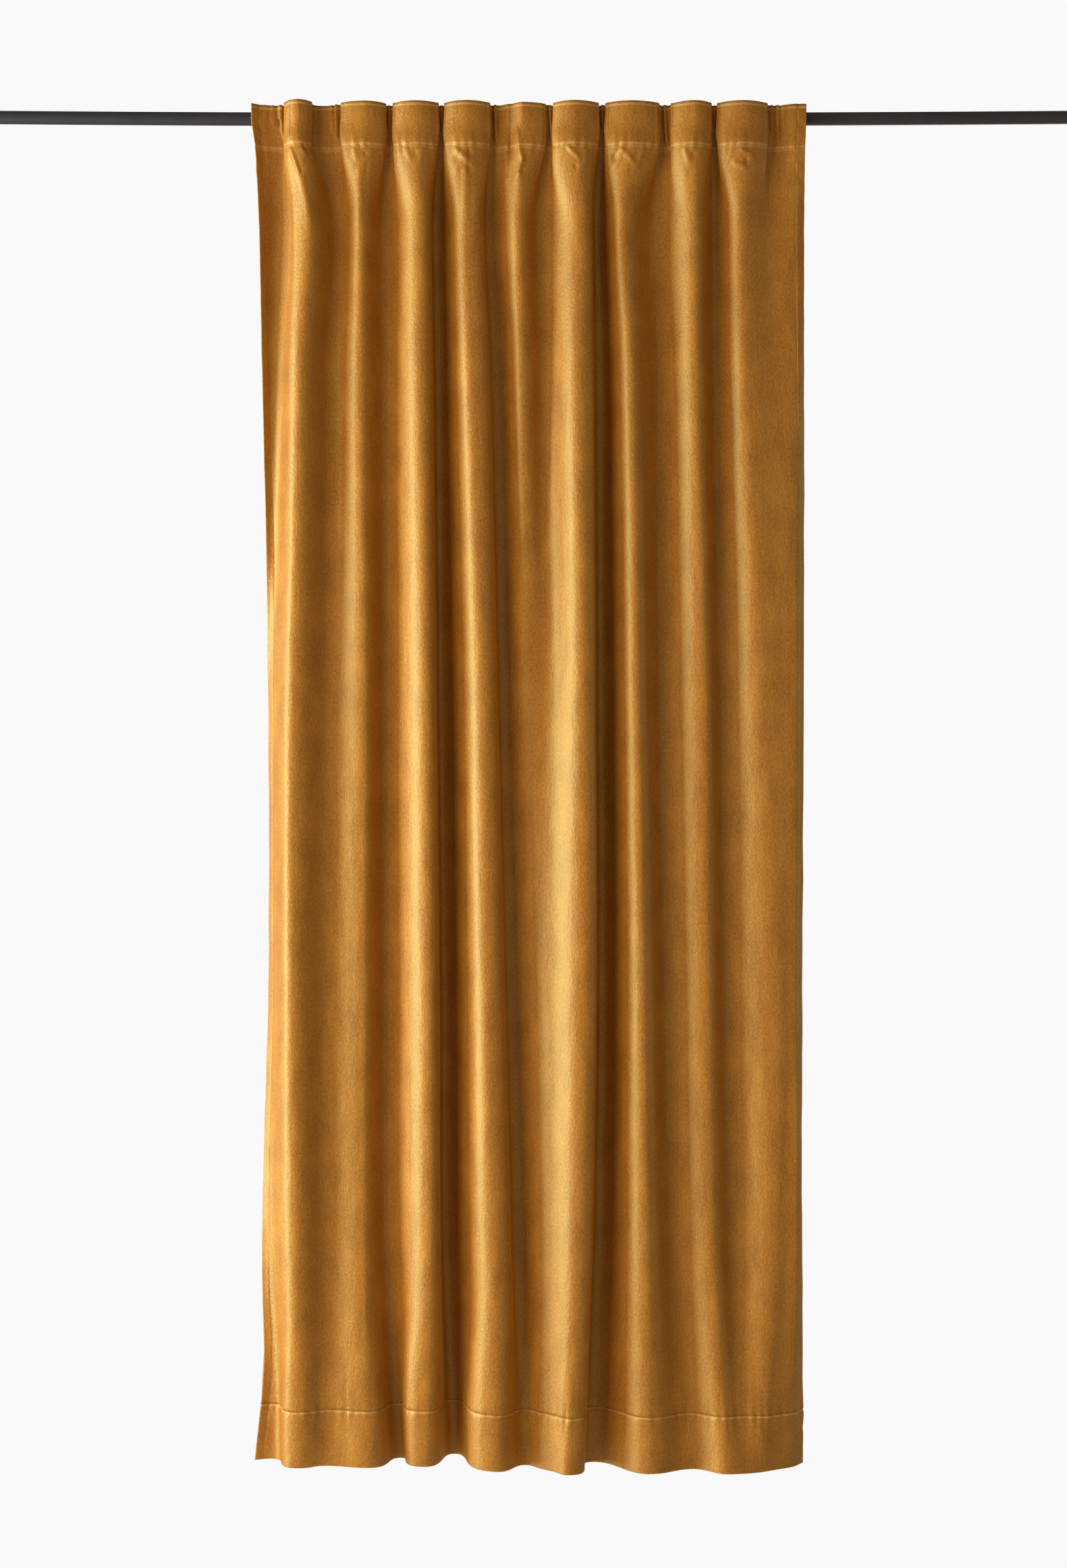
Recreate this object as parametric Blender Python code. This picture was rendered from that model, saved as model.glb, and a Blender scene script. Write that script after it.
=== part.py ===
"""A velvet curtain gathered on a round rod: one hung cloth, its ten hidden back tabs, and the rod.

Metres, +Z up. The origin is on the rod's axis at its middle. The cloth's face looks along -Y.
"""

import math
from typing import NamedTuple

import bpy
import numpy as np

MM = 0.001

# The rod. The cloth's weight bows it, so its ends stand a little above its middle.
ROD_RADIUS = 12 * MM
ROD_LENGTH = 2.0
ROD_END_RISE = 4 * MM
ROD_SIDES = 24
ROD_SPANS = 12
ROD_CHAMFER = 1.0 * MM

# The cloth, as cut and hemmed.
CUT_WIDTH = 1.40
TOP_Z = 20.5 * MM
HEAD_SEAM_Z = -60 * MM
HEM_Z = -2480 * MM
HEM_DEPTH = 100 * MM
SIDE_HEM = 16 * MM
HEM_SAG = 6 * MM  # how much lower the hem hangs right of the middle
HEM_SAG_FROM = -0.15
HEM_SAG_TO = 0.05
SAG_STARTS_Z = -1.6

# One layer of velvet, and the turned layers of the heading, the hem and the side hems.
CLOTH_THICK = 1.6 * MM
HEAD_THICK = 2.6 * MM
HEM_THICK = 2.8 * MM
SIDE_THICK = 2.4 * MM
THICK_BLEND = 12 * MM

# How far in front of the rod's axis the middle of the cloth lies where a tab holds it.
HELD_FORWARD = 15.5 * MM

# How many steps the surface has in each half fold, and how many rows in each stretch of its height.
STEPS_PER_HALF_FOLD = 5
HEAD_ROWS = 6
NECK_ROWS = 4
BODY_ROWS = 8
BODY_ROW_GROWTH = 1.25
HEM_ROWS = 2
NECK_Z = -150 * MM

# Between these limits, halving finds the folds' depth at each height.
LEAST_DEPTH_SCALE = 0.2
MOST_DEPTH_SCALE = 3.0
DEPTH_HALVINGS = 30

# The bulges of the heading are fullest where the rod presses them, a little below its axis.
PUFF = 0.10
PUFF_Z = -29 * MM
PUFF_HEIGHT = 22 * MM
HEAD_SHAPE_ENDS_Z = -190 * MM

# How far a bulge of the heading is rounded off between its crest and its sides, against its depth.
HEAD_ROUND = 1.1
HEM_SHAPE_STARTS_Z = -2400 * MM

# Heights at which the fold lines below are given.
LEVELS = {
    "rod": -5 * MM,
    "seam": -58 * MM,
    "neck": -112 * MM,
    "upper": -465 * MM,
    "waist": -1026 * MM,
    "knee": -1588 * MM,
    "shin": -2150 * MM,
    "flare": -2300 * MM,
    "hem": -2480 * MM,
}


class FoldLine(NamedTuple):
    """An upright line of the drape: a crest, the valley beside it, or a side edge.

    across and forward hold its place at each of LEVELS, in mm: to the right of the rod's middle,
    and in front of the rod's axis. at_head, at_body and at_hem say how full the cloth curves away
    from the line to its left and to its right: 1 is a plain wave, and two facing ends that add up
    to over 6 make a flank that overhangs.
    """

    name: str
    across: tuple
    forward: tuple
    at_head: tuple
    at_body: tuple
    at_hem: tuple


FOLD_LINES = (
    FoldLine("left_edge", (-518, -511, -508, -500, -493, -492, -503, -500, -516),
             (34, 33, 30, 16, -16, -18, -8, -8, -4), (1, 1), (1, 1), (1, 1)),
    FoldLine("valley_0", (-464, -464, -469, -482, -486, -487, -492, -487, -486),
             (15.5, 15.5, 8, 3, -10, -12, -5, -9, -10), (1.5, 2.0), (1.2, 1.4), (1.2, 2.0)),
    FoldLine("crest_1", (-430, -430, -419, -425, -438, -441, -432, -431, -428),
             (60, 56, 52, 46, 42, 44, 42, 43, 44), (4.2, 3.2), (1.5, 1.5), (2.8, 1.5)),
    FoldLine("valley_1", (-384, -384, -371, -367, -367, -373, -377, -378, -382),
             (15.5, 15.5, 4, 4, 11, 15, 18, 24, 30), (3.2, 3.0), (1.4, 1.2), (1.3, 1.2)),
    FoldLine("crest_2", (-309, -309, -312, -316, -310, -311, -310, -306, -302),
             (50, 48, 42, 32, 27, 26, 30, 37, 42), (3.6, 4.6), (1.3, 1.4), (1.2, 2.4)),
    FoldLine("valley_2", (-266, -266, -270, -271, -273, -272, -267, -260, -246),
             (15.5, 15.5, 0, -6, -10, -12, -12, -13, -15), (1.8, 1.8), (1.5, 1.0), (1.6, 1.4)),
    FoldLine("crest_3", (-216, -216, -211, -206, -194, -190, -189, -192, -198),
             (52, 50, 46, 44, 46, 44, 42, 40, 36), (4.2, 4.8), (1.4, 3.7), (3.4, 2.2)),
    FoldLine("valley_3", (-169, -170, -175, -173, -171, -165, -161, -155, -149),
             (15.5, 15.5, -4, -12, -18, -24, -30, -34, -38), (1.8, 1.8), (2.9, 1.2), (1.6, 1.5)),
    FoldLine("crest_4", (-122, -122, -123, -114, -93, -83, -71, -67, -67),
             (54, 52, 43, 44, 46, 48, 52, 54, 57), (4.6, 4.6), (1.4, 3.5), (2.8, 1.6)),
    FoldLine("valley_4", (-73, -74, -76, -62, -53, -37, -22, -18, -13),
             (15.5, 15.5, 0, -2, -2, 0, 2, 6, 12), (1.8, 1.2), (2.5, 1.3), (1.4, 1.2)),
    FoldLine("crest_5", (-20, -20, -24, -20, -6, 6, 10, 11, 14),
             (42, 40, 36, 30, 18, 19, 21, 25, 30), (1.2, 4.6), (1.2, 1.6), (1.0, 1.0)),
    FoldLine("valley_5", (29, 28, 20, 20, 26, 31, 31, 31, 35),
             (15.5, 15.5, 4, 6, 20, 31, 33, 37, 43), (1.8, 1.8), (1.4, 1.2), (1.0, 1.0)),
    FoldLine("crest_6", (76, 75, 83, 84, 93, 95, 81, 74, 62),
             (54, 52, 48, 52, 58, 60, 62, 63, 64), (4.4, 4.8), (1.4, 3.7), (1.3, 3.6)),
    FoldLine("valley_6", (124, 124, 121, 127, 127, 129, 121, 116, 112),
             (15.5, 15.5, -4, -10, -12, -13, -12, -11, -10), (1.8, 1.8), (2.9, 1.1), (2.8, 1.3)),
    FoldLine("crest_7", (180, 178, 170, 180, 190, 200, 208, 211, 210),
             (52, 50, 42, 44, 48, 52, 54, 56, 58), (4.6, 4.8), (1.4, 1.2), (1.3, 1.3)),
    FoldLine("valley_7", (237, 237, 234, 236, 237, 247, 266, 280, 294),
             (15.5, 15.5, 2, 1, 6, 12, 17, 23, 30), (1.8, 1.8), (1.2, 1.0), (1.2, 1.2)),
    FoldLine("crest_8", (296, 293, 296, 300, 314, 320, 332, 341, 354),
             (53, 51, 45, 41, 38, 39, 43, 49, 59), (3.4, 4.6), (1.2, 1.4), (1.2, 1.2)),
    FoldLine("valley_8", (331, 331, 333, 337, 348, 358, 370, 378, 384),
             (15.5, 15.5, 2, 2, 8, 14, 22, 36, 56), (1.8, 1.8), (1.3, 1.0), (1.2, 1.0)),
    FoldLine("crest_9", (384, 384, 383, 390, 423, 446, 437, 426, 411),
             (53, 51, 42, 36, 35, 37, 39, 44, 49), (4.6, 3.8), (1.3, 1.3), (1.0, 1.0)),
    FoldLine("valley_9", (443, 443, 443, 448, 460, 468, 462, 455, 446),
             (15.5, 15.5, 15.5, 28, 33, 35, 35, 36, 33), (1.8, 1.8), (1.0, 1.0), (1.0, 1.0)),
    FoldLine("crest_10", (482, 481, 482, 484, 484, 483, 483, 481, 479),
             (30, 28, 22, 26, 31, 33, 33, 30, 16), (2.2, 1.2), (1, 1), (1, 1)),
    FoldLine("right_edge", (501, 499, 499, 498, 498, 495, 495, 497, 499),
             (29, 27, 19, 17, 12, 12, 10, 4, -8), (1, 1), (1, 1), (1, 1)),
)

# The back tabs: a strip behind each valley of the heading, sewn to it above and below the rod.
TAB_ACROSS = {
    "tab_01": -464,
    "tab_02": -366,
    "tab_03": -266,
    "tab_04": -169,
    "tab_05": -73,
    "tab_06": 29,
    "tab_07": 124,
    "tab_08": 237,
    "tab_09": 331,
    "tab_10": 443,
}
TAB_WIDTH = 16 * MM
TAB_THICK = 1.2 * MM
TAB_GAP = 0.4 * MM
TAB_TOP_Z = 18.5 * MM
TAB_TOP_SEAM = 3 * MM
TAB_FOOT_Z = -52 * MM
TAB_FOOT_SEAM = 6 * MM
TAB_ARC_STEPS = 14

SHARP_FROM = math.radians(45)
VELVET = ("velvet", (0.42, 0.20, 0.035), 0.85, 0.0)
TAB_TAPE = ("tab_tape", (0.36, 0.18, 0.04), 0.9, 0.0)
ROD_PAINT = ("rod_paint", (0.07, 0.07, 0.08), 0.45, 0.6)


def smoothstep(value):
    """0 below 0, 1 above 1, and an even curve between."""
    value = np.clip(value, 0.0, 1.0)
    return value * value * (3 - 2 * value)


def rod_rise(x):
    """How far the bowed rod's axis stands above its middle at this x."""
    return ROD_END_RISE * (2 * x / ROD_LENGTH) ** 2


def down_the_drop(values, z):
    """A row of values given at LEVELS, read at the heights z by a smooth curve through them."""
    at = -np.array(list(LEVELS.values()))
    values = np.asarray(values, float)
    slope = np.gradient(values, at, axis=-1)
    slope[..., 0] = 0.0
    down = np.clip(-np.asarray(z), at[0], at[-1])
    span = np.clip(np.searchsorted(at, down, side="right") - 1, 0, len(at) - 2)
    width = at[span + 1] - at[span]
    t = (down - at[span]) / width
    a, b = values[..., span], values[..., span + 1]
    slope_a, slope_b = slope[..., span] * width, slope[..., span + 1] * width
    return (a * (1 + 2 * t) * (1 - t) ** 2 + b * t * t * (3 - 2 * t)
            + slope_a * t * (1 - t) ** 2 - slope_b * t * t * (1 - t))


def fullness(z):
    """How full each fold line's curve is to its left and right at the heights z, as two arrays."""
    head, body, hem = (
        np.array([getattr(line, stage) for line in FOLD_LINES])[:, :, None]
        for stage in ("at_head", "at_body", "at_hem")
    )
    puff = 1 + PUFF * np.exp(-(((z - PUFF_Z) / PUFF_HEIGHT) ** 2))
    in_hem = smoothstep((LEVELS["shin"] - z) / (LEVELS["shin"] - HEM_SHAPE_STARTS_Z))
    mixed = body + (head * puff - body) * in_heading(z) + (hem - body) * in_hem
    return mixed[:, 0], mixed[:, 1]


def in_heading(z):
    """1 in the heading, 0 where the heading's shape has ended, and an even curve between."""
    return smoothstep((z - HEAD_SHAPE_ENDS_Z) / (LEVELS["seam"] - HEAD_SHAPE_ENDS_Z))


def line_slopes(across, forward):
    """How steeply the section passes each fold line, as forward over across.

    It is level at a crest and in a valley. Where the folds only step down, it is the harmonic mean
    of the two steps' slopes, and at the side edges it is the one step's slope.
    """
    step = np.diff(forward, axis=0) / np.diff(across, axis=0)
    before, after = step[:-1], step[1:]
    goes_on = before * after > 0
    between = 2 * before * after / np.where(goes_on, before + after, 1.0)
    return np.vstack([step[:1], np.where(goes_on, between, 0.0), step[-1:]])


def section(z, depth_scale):
    """The cloth's cross-sections at the heights z, as x and y arrays of a row for each height.

    Each half fold is one cubic curve from a fold line to the next. Both curves that meet at a line
    have the same slope there, so the cloth has no corner.
    """
    across = MM * down_the_drop([line.across for line in FOLD_LINES], z)
    forward = MM * down_the_drop([line.forward for line in FOLD_LINES], z)
    forward = HELD_FORWARD + depth_scale * (forward - HELD_FORWARD)
    slope = line_slopes(across, forward)
    left_full, right_full = fullness(z)
    width, height = np.diff(across, axis=0), np.diff(forward, axis=0)
    leaves, arrives = right_full[:-1] * width, left_full[1:] * width
    t = (np.arange(STEPS_PER_HALF_FOLD) / STEPS_PER_HALF_FOLD)[:, None, None]
    ease, leave, arrive = t * t * (3 - 2 * t), t * (1 - t) ** 2, -t * t * (1 - t)
    x = across[:-1] + width * ease + leaves * leave + arrives * arrive
    y = forward[:-1] + height * ease + leaves * slope[:-1] * leave + arrives * slope[1:] * arrive
    from_crest = np.clip(2 * np.where(height < 0, t, 1 - t), 0, 1)
    y -= np.abs(height) * HEAD_ROUND * from_crest ** 1.5 * (1 - from_crest) * in_heading(z)
    x = np.moveaxis(x, 0, 1).reshape(-1, len(z))
    y = np.moveaxis(y, 0, 1).reshape(-1, len(z))
    return np.vstack([x, across[-1]]).T, -np.vstack([y, forward[-1]]).T


def along(x, y):
    """The length of each row's curve from its left end, at every point."""
    steps = np.hypot(np.diff(x, axis=1), np.diff(y, axis=1))
    return np.hstack([np.zeros((len(x), 1)), np.cumsum(steps, axis=1)])


def hung_section(z):
    """The cross-sections whose folds are as deep as the cloth's one cut width makes them."""
    low = np.full(len(z), LEAST_DEPTH_SCALE)
    high = np.full(len(z), MOST_DEPTH_SCALE)
    for _ in range(DEPTH_HALVINGS):
        middle = (low + high) / 2
        longer = along(*section(z, middle))[:, -1] > CUT_WIDTH
        high = np.where(longer, middle, high)
        low = np.where(longer, low, middle)
    return section(z, (low + high) / 2)


def row_heights():
    """The heights of the cloth's rows, from its top edge down to its hem."""
    hem_seam = HEM_Z + HEM_DEPTH
    return np.concatenate([
        np.linspace(TOP_Z, HEAD_SEAM_Z, HEAD_ROWS, endpoint=False),
        np.linspace(HEAD_SEAM_Z, NECK_Z, NECK_ROWS, endpoint=False),
        np.linspace(0, 1, BODY_ROWS, endpoint=False) ** BODY_ROW_GROWTH * (hem_seam - NECK_Z) + NECK_Z,
        np.linspace(hem_seam, HEM_Z, HEM_ROWS + 1),
    ])


def cloth_thickness(z, from_side):
    """The cloth's thickness by height and by the distance from its nearer side edge."""
    thick = np.full(from_side.shape, CLOTH_THICK)
    in_head = smoothstep((z - HEAD_SEAM_Z + THICK_BLEND) / THICK_BLEND)[:, None]
    in_hem = smoothstep((HEM_Z + HEM_DEPTH + THICK_BLEND - z) / THICK_BLEND)[:, None]
    at_side = smoothstep((SIDE_HEM + THICK_BLEND - from_side) / THICK_BLEND)
    thick = thick + (HEAD_THICK - CLOTH_THICK) * in_head
    thick = np.maximum(thick, CLOTH_THICK + (HEM_THICK - CLOTH_THICK) * in_hem)
    return np.maximum(thick, CLOTH_THICK + (SIDE_THICK - CLOTH_THICK) * at_side)


def cloth_surface():
    """The middle surface of the hung cloth as a grid of points, and its thickness there."""
    z = row_heights()
    x, y = hung_section(z)
    length = along(x, y)
    thick = cloth_thickness(z, np.minimum(length, length[:, -1:] - length))
    sag = HEM_SAG * smoothstep((x - HEM_SAG_FROM) / (HEM_SAG_TO - HEM_SAG_FROM))
    drop = smoothstep((SAG_STARTS_Z - z) / (SAG_STARTS_Z - HEM_Z))[:, None]
    return np.stack([x, y, z[:, None] - sag * drop], axis=-1), thick


def face_normals(grid):
    """Unit normals of a grid of points, to the cloth's face side."""
    right = np.gradient(grid, axis=1)
    down = np.gradient(grid, axis=0)
    normal = np.cross(down, right)
    return normal / np.linalg.norm(normal, axis=2, keepdims=True)


def finish(name, mesh, material):
    """Makes the named object from a mesh, with its material and smooth shading."""
    mesh.materials.append(material)
    mesh.shade_smooth()
    mesh.set_sharp_from_angle(angle=SHARP_FROM)
    part = bpy.data.objects.new(name, mesh)
    bpy.context.scene.collection.objects.link(part)
    return part


def make_material(name, colour, roughness, metallic):
    """A Principled BSDF of this colour, roughness and metallic value."""
    material = bpy.data.materials.new(name)
    material.use_nodes = True
    shader = material.node_tree.nodes["Principled BSDF"]
    shader.inputs["Base Color"].default_value = (*colour, 1.0)
    shader.inputs["Roughness"].default_value = roughness
    shader.inputs["Metallic"].default_value = metallic
    return material


def grid_faces(rows, columns, start, flip):
    """The quads of a grid of points that starts at this index, turned round if flip is set."""
    at = start + np.arange(rows * columns).reshape(rows, columns)
    quads = np.stack([at[:-1, :-1], at[1:, :-1], at[1:, 1:], at[:-1, 1:]], axis=-1).reshape(-1, 4)
    return quads[:, ::-1] if flip else quads


def rim_of(rows, columns):
    """The indices round a grid's rim, in order and without repeating the first."""
    at = np.arange(rows * columns).reshape(rows, columns)
    return np.concatenate([at[0, :-1], at[:-1, -1], at[-1, :0:-1], at[:0:-1, 0]])


def make_cloth(material):
    """The curtain: one sheet, with its face, its back and the rim between them."""
    grid, thick = cloth_surface()
    half = face_normals(grid) * thick[..., None] / 2
    rows, columns = thick.shape
    points = np.concatenate([(grid + half).reshape(-1, 3), (grid - half).reshape(-1, 3)])
    rim = rim_of(rows, columns)
    after = np.roll(rim, -1)
    back = rows * columns
    walls = np.stack([rim, after, after + back, rim + back], axis=-1)
    faces = np.concatenate([
        grid_faces(rows, columns, 0, False),
        grid_faces(rows, columns, back, True),
        walls,
    ])
    mesh = bpy.data.meshes.new("curtain")
    mesh.from_pydata(points.tolist(), [], faces.tolist())
    mesh.update()
    return finish("curtain", mesh, material)


def make_strip(name, outline_yz, across, material):
    """A strip with one closed outline in the YZ plane, carried level between two places on X."""
    count = len(outline_yz)
    points = [(x, y, z) for x in across for y, z in outline_yz]
    sides = [(i, (i + 1) % count, count + (i + 1) % count, count + i) for i in range(count)]
    faces = sides + [tuple(range(count))[::-1], tuple(range(count, 2 * count))]
    mesh = bpy.data.meshes.new(name)
    mesh.from_pydata(points, [], faces)
    mesh.update()
    return finish(name, mesh, material)


def tab_line(axis_z):
    """The middle line of a tab, in the YZ plane, from its upper seam round the rod to its foot."""
    held_y = -HELD_FORWARD + (HEAD_THICK + TAB_THICK) / 2 + TAB_GAP
    radius = ROD_RADIUS + TAB_GAP + TAB_THICK / 2
    top_z = TAB_TOP_Z - TAB_TOP_SEAM - axis_z
    foot_z = TAB_FOOT_Z + TAB_FOOT_SEAM - axis_z
    over = math.atan2(top_z, held_y) - math.acos(radius / math.hypot(held_y, top_z))
    under = math.atan2(foot_z, held_y) + math.acos(radius / math.hypot(held_y, foot_z))
    turn = np.linspace(over, under, TAB_ARC_STEPS)
    line = [(held_y, TAB_TOP_Z), (held_y, TAB_TOP_Z - TAB_TOP_SEAM)]
    line += [(radius * math.cos(a), radius * math.sin(a) + axis_z) for a in turn]
    line += [(held_y, TAB_FOOT_Z + TAB_FOOT_SEAM), (held_y, TAB_FOOT_Z)]
    return np.array(line)


def thickened(line, thick):
    """The closed outline of a strip of this thickness along an open line."""
    tangent = np.gradient(line, axis=0)
    tangent /= np.linalg.norm(tangent, axis=1, keepdims=True)
    aside = np.stack([-tangent[:, 1], tangent[:, 0]], axis=1) * thick / 2
    return np.concatenate([line - aside, (line + aside)[::-1]])


def make_tab(name, middle, material):
    """A back tab: a strip that hangs on the rod and carries the heading."""
    outline = thickened(tab_line(float(rod_rise(middle))), TAB_THICK)
    across = (middle - TAB_WIDTH / 2, middle + TAB_WIDTH / 2)
    return make_strip(name, outline.tolist(), across, material)


def make_rod(material):
    """The rod: a bowed round bar with flat, lightly chamfered ends."""
    half = ROD_LENGTH / 2
    inner = np.linspace(-half + ROD_CHAMFER, half - ROD_CHAMFER, ROD_SPANS + 1)
    x = np.concatenate([[-half], inner, [half]])
    radius = np.full(len(x), ROD_RADIUS)
    radius[[0, -1]] -= ROD_CHAMFER
    turn = np.arange(ROD_SIDES) * 2 * math.pi / ROD_SIDES
    ring_y = radius[:, None] * np.cos(turn)
    ring_z = radius[:, None] * np.sin(turn) + rod_rise(x)[:, None]
    points = np.stack([np.repeat(x[:, None], ROD_SIDES, axis=1), ring_y, ring_z], axis=-1)
    at = np.arange(len(x) * ROD_SIDES).reshape(len(x), ROD_SIDES)
    beside = np.roll(at, -1, axis=1)
    sides = np.stack([at[:-1], beside[:-1], beside[1:], at[1:]], axis=-1).reshape(-1, 4)
    ends = [at[0][::-1].tolist(), at[-1].tolist()]
    mesh = bpy.data.meshes.new("rod")
    mesh.from_pydata(points.reshape(-1, 3).tolist(), [], sides.tolist() + ends)
    mesh.update()
    return finish("rod", mesh, material)


def main():
    """Clears the scene and builds the cloth, its tabs and the rod."""
    for old in list(bpy.data.objects):
        bpy.data.objects.remove(old)
    make_cloth(make_material(*VELVET))
    tape = make_material(*TAB_TAPE)
    for name, middle in TAB_ACROSS.items():
        make_tab(name, middle * MM, tape)
    make_rod(make_material(*ROD_PAINT))


main()
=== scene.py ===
"""A velvet curtain gathered on a dark round rod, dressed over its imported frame.

Metres, +Z up, in the frame's own axes: the origin is on the rod's axis at its middle, and the
cloth's face looks along -Y. The curtain is one hung cloth with its stitching, ten back tabs that
carry its heading, and the rod.
"""

import logging
import math
from dataclasses import dataclass, field
from enum import Enum

import bpy
import numpy as np
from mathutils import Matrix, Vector


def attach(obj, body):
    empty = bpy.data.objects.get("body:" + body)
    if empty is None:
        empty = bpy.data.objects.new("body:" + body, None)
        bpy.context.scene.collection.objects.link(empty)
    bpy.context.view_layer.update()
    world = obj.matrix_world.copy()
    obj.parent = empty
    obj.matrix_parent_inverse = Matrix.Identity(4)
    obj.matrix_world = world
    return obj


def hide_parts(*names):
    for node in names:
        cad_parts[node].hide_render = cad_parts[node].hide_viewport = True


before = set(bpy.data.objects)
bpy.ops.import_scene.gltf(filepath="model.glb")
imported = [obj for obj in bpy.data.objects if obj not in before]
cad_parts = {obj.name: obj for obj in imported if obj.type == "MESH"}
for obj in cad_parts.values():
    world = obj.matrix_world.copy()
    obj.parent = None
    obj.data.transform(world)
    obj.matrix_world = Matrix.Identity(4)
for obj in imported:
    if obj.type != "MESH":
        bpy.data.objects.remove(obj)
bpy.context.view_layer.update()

LOG = logging.getLogger("curtain")
BODY = "root"
MM = 0.001
Array = np.ndarray

# Sockets of a Mix node that mixes colours.
MIX_A = 6
MIX_B = 7
MIX_COLOUR = 2

# How long a wave of the Wave texture is at scale 1: with bands across one axis, and with slanted
# bands, where it is measured along the sum of the axes.
WAVE_STRAIGHT = math.pi / 10
WAVE_SLANTED = math.pi / 5


def smoothstep(value: Array) -> Array:
    """0 below 0, 1 above 1, and 3 v squared less 2 v cubed between."""
    value = np.clip(value, 0.0, 1.0)
    return value * value * (3 - 2 * value)


def bell(distance: Array, half: float) -> Array:
    """Exp of minus (distance / half) squared."""
    return np.exp(-((distance / half) ** 2))


def linear_rgb(code: str) -> tuple[float, float, float, float]:
    """Turns an sRGB hex colour into linear red, green and blue, with alpha 1.

    A channel c becomes c / 12.92 up to 0.04045, and ((c + 0.055) / 1.055) to the power 2.4 above.

    Args:
        code: six hex digits after a hash.

    Returns:
        The linear colour as four floats.
    """
    channels = [int(code[i:i + 2], 16) / 255 for i in (1, 3, 5)]
    red, green, blue = (c / 12.92 if c <= 0.04045 else ((c + 0.055) / 1.055) ** 2.4 for c in channels)
    return red, green, blue, 1.0


def add_node(tree: bpy.types.NodeTree, kind: str, settings: dict | None = None,
             links: dict | None = None) -> bpy.types.Node:
    """Adds a node to a tree, with its settings and the links into it.

    Args:
        tree: the tree that gets the node.
        kind: the node's type name.
        settings: values by socket name or number, or by the name of a property of the node.
        links: output sockets by the name or number of the input that they go to.

    Returns:
        The new node.
    """
    node = tree.nodes.new(kind)
    for key, value in (settings or {}).items():
        if isinstance(key, int) or key in node.inputs:
            node.inputs[key].default_value = value
        else:
            setattr(node, key, value)
    for key, source in (links or {}).items():
        tree.links.new(source, node.inputs[key])
    return node


def start_material(name: str) -> tuple[bpy.types.Material, bpy.types.NodeTree]:
    """Starts a material with an empty node tree.

    Args:
        name: the material's name.

    Returns:
        The material and its tree.
    """
    material = bpy.data.materials.new(name)
    material.use_nodes = True
    material.node_tree.nodes.clear()
    return material, material.node_tree


def finish_two_tone(tree: bpy.types.NodeTree, colours: tuple[str, str], pattern: bpy.types.NodeSocket,
                    height: bpy.types.NodeSocket, relief: tuple[float, float], settings: dict) -> None:
    """Ends a material whose two colours a pattern mixes, with a relief, on one shader.

    Args:
        tree: the material's tree.
        colours: hex colours where the pattern is 0 and where it is 1.
        pattern: the socket that mixes them.
        height: the socket that the relief follows.
        relief: the relief's strength and its depth.
        settings: the shader's own values.
    """
    dark, light = colours
    colour = add_node(tree, "ShaderNodeMix", {"data_type": "RGBA", MIX_A: linear_rgb(dark),
                                              MIX_B: linear_rgb(light)},
                      {"Factor": pattern}).outputs[MIX_COLOUR]
    bump = add_node(tree, "ShaderNodeBump", {"Strength": relief[0], "Distance": relief[1]},
                    {"Height": height}).outputs["Normal"]
    shader = add_node(tree, "ShaderNodeBsdfPrincipled", settings,
                      {"Base Color": colour, "Normal": bump}).outputs["BSDF"]
    add_node(tree, "ShaderNodeOutputMaterial", links={"Surface": shader})


def make_mesh(name: str, points: Array, faces: Array | list, materials: list[bpy.types.Material],
              face_material: Array | None = None, uv: Array | None = None,
              sharp_from: float = 180.0) -> bpy.types.Object:
    """Makes a smooth-shaded object at the origin from arrays.

    Args:
        name: the object's name.
        points: vertex places, one row each.
        faces: vertex numbers of each face, in order, seen from outside.
        materials: the materials of the object's slots.
        face_material: the slot of each face, or None for the first.
        uv: cloth coordinates of each vertex in metres, or None.
        sharp_from: the angle in degrees from which an edge stays sharp.

    Returns:
        The object, linked to the scene.
    """
    mesh = bpy.data.meshes.new(name)
    mesh.from_pydata(points.tolist(), [], faces if isinstance(faces, list) else faces.tolist())
    for material in materials:
        mesh.materials.append(material)
    if face_material is not None:
        mesh.polygons.foreach_set("material_index", face_material.astype(np.int32))
    if uv is not None:
        corner = np.empty(len(mesh.loops), np.int32)
        mesh.loops.foreach_get("vertex_index", corner)
        mesh.uv_layers.new(name="cloth").data.foreach_set("uv", uv[corner].astype(np.float32).ravel())
    mesh.update()
    mesh.shade_smooth()
    if sharp_from < 180.0:
        mesh.set_sharp_from_angle(angle=math.radians(sharp_from))
    piece = bpy.data.objects.new(name, mesh)
    bpy.context.scene.collection.objects.link(piece)
    return piece


def face_normals(grid: Array) -> Array:
    """Unit normals of a grid of points: the step down the grid crossed with the step along it."""
    normal = np.cross(np.gradient(grid, axis=0), np.gradient(grid, axis=1))
    return normal / np.linalg.norm(normal, axis=2, keepdims=True)


def grid_quads(at: Array, flip: bool) -> Array:
    """The quads of a grid of point numbers, turned round if flip is set."""
    quads = np.stack([at[:-1, :-1], at[1:, :-1], at[1:, 1:], at[:-1, 1:]], axis=-1).reshape(-1, 4)
    return quads[:, ::-1] if flip else quads


def numbered(rows: int, columns: int, start: int) -> Array:
    """The numbers of a grid of points whose first is start."""
    return start + np.arange(rows * columns).reshape(rows, columns)


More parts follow.
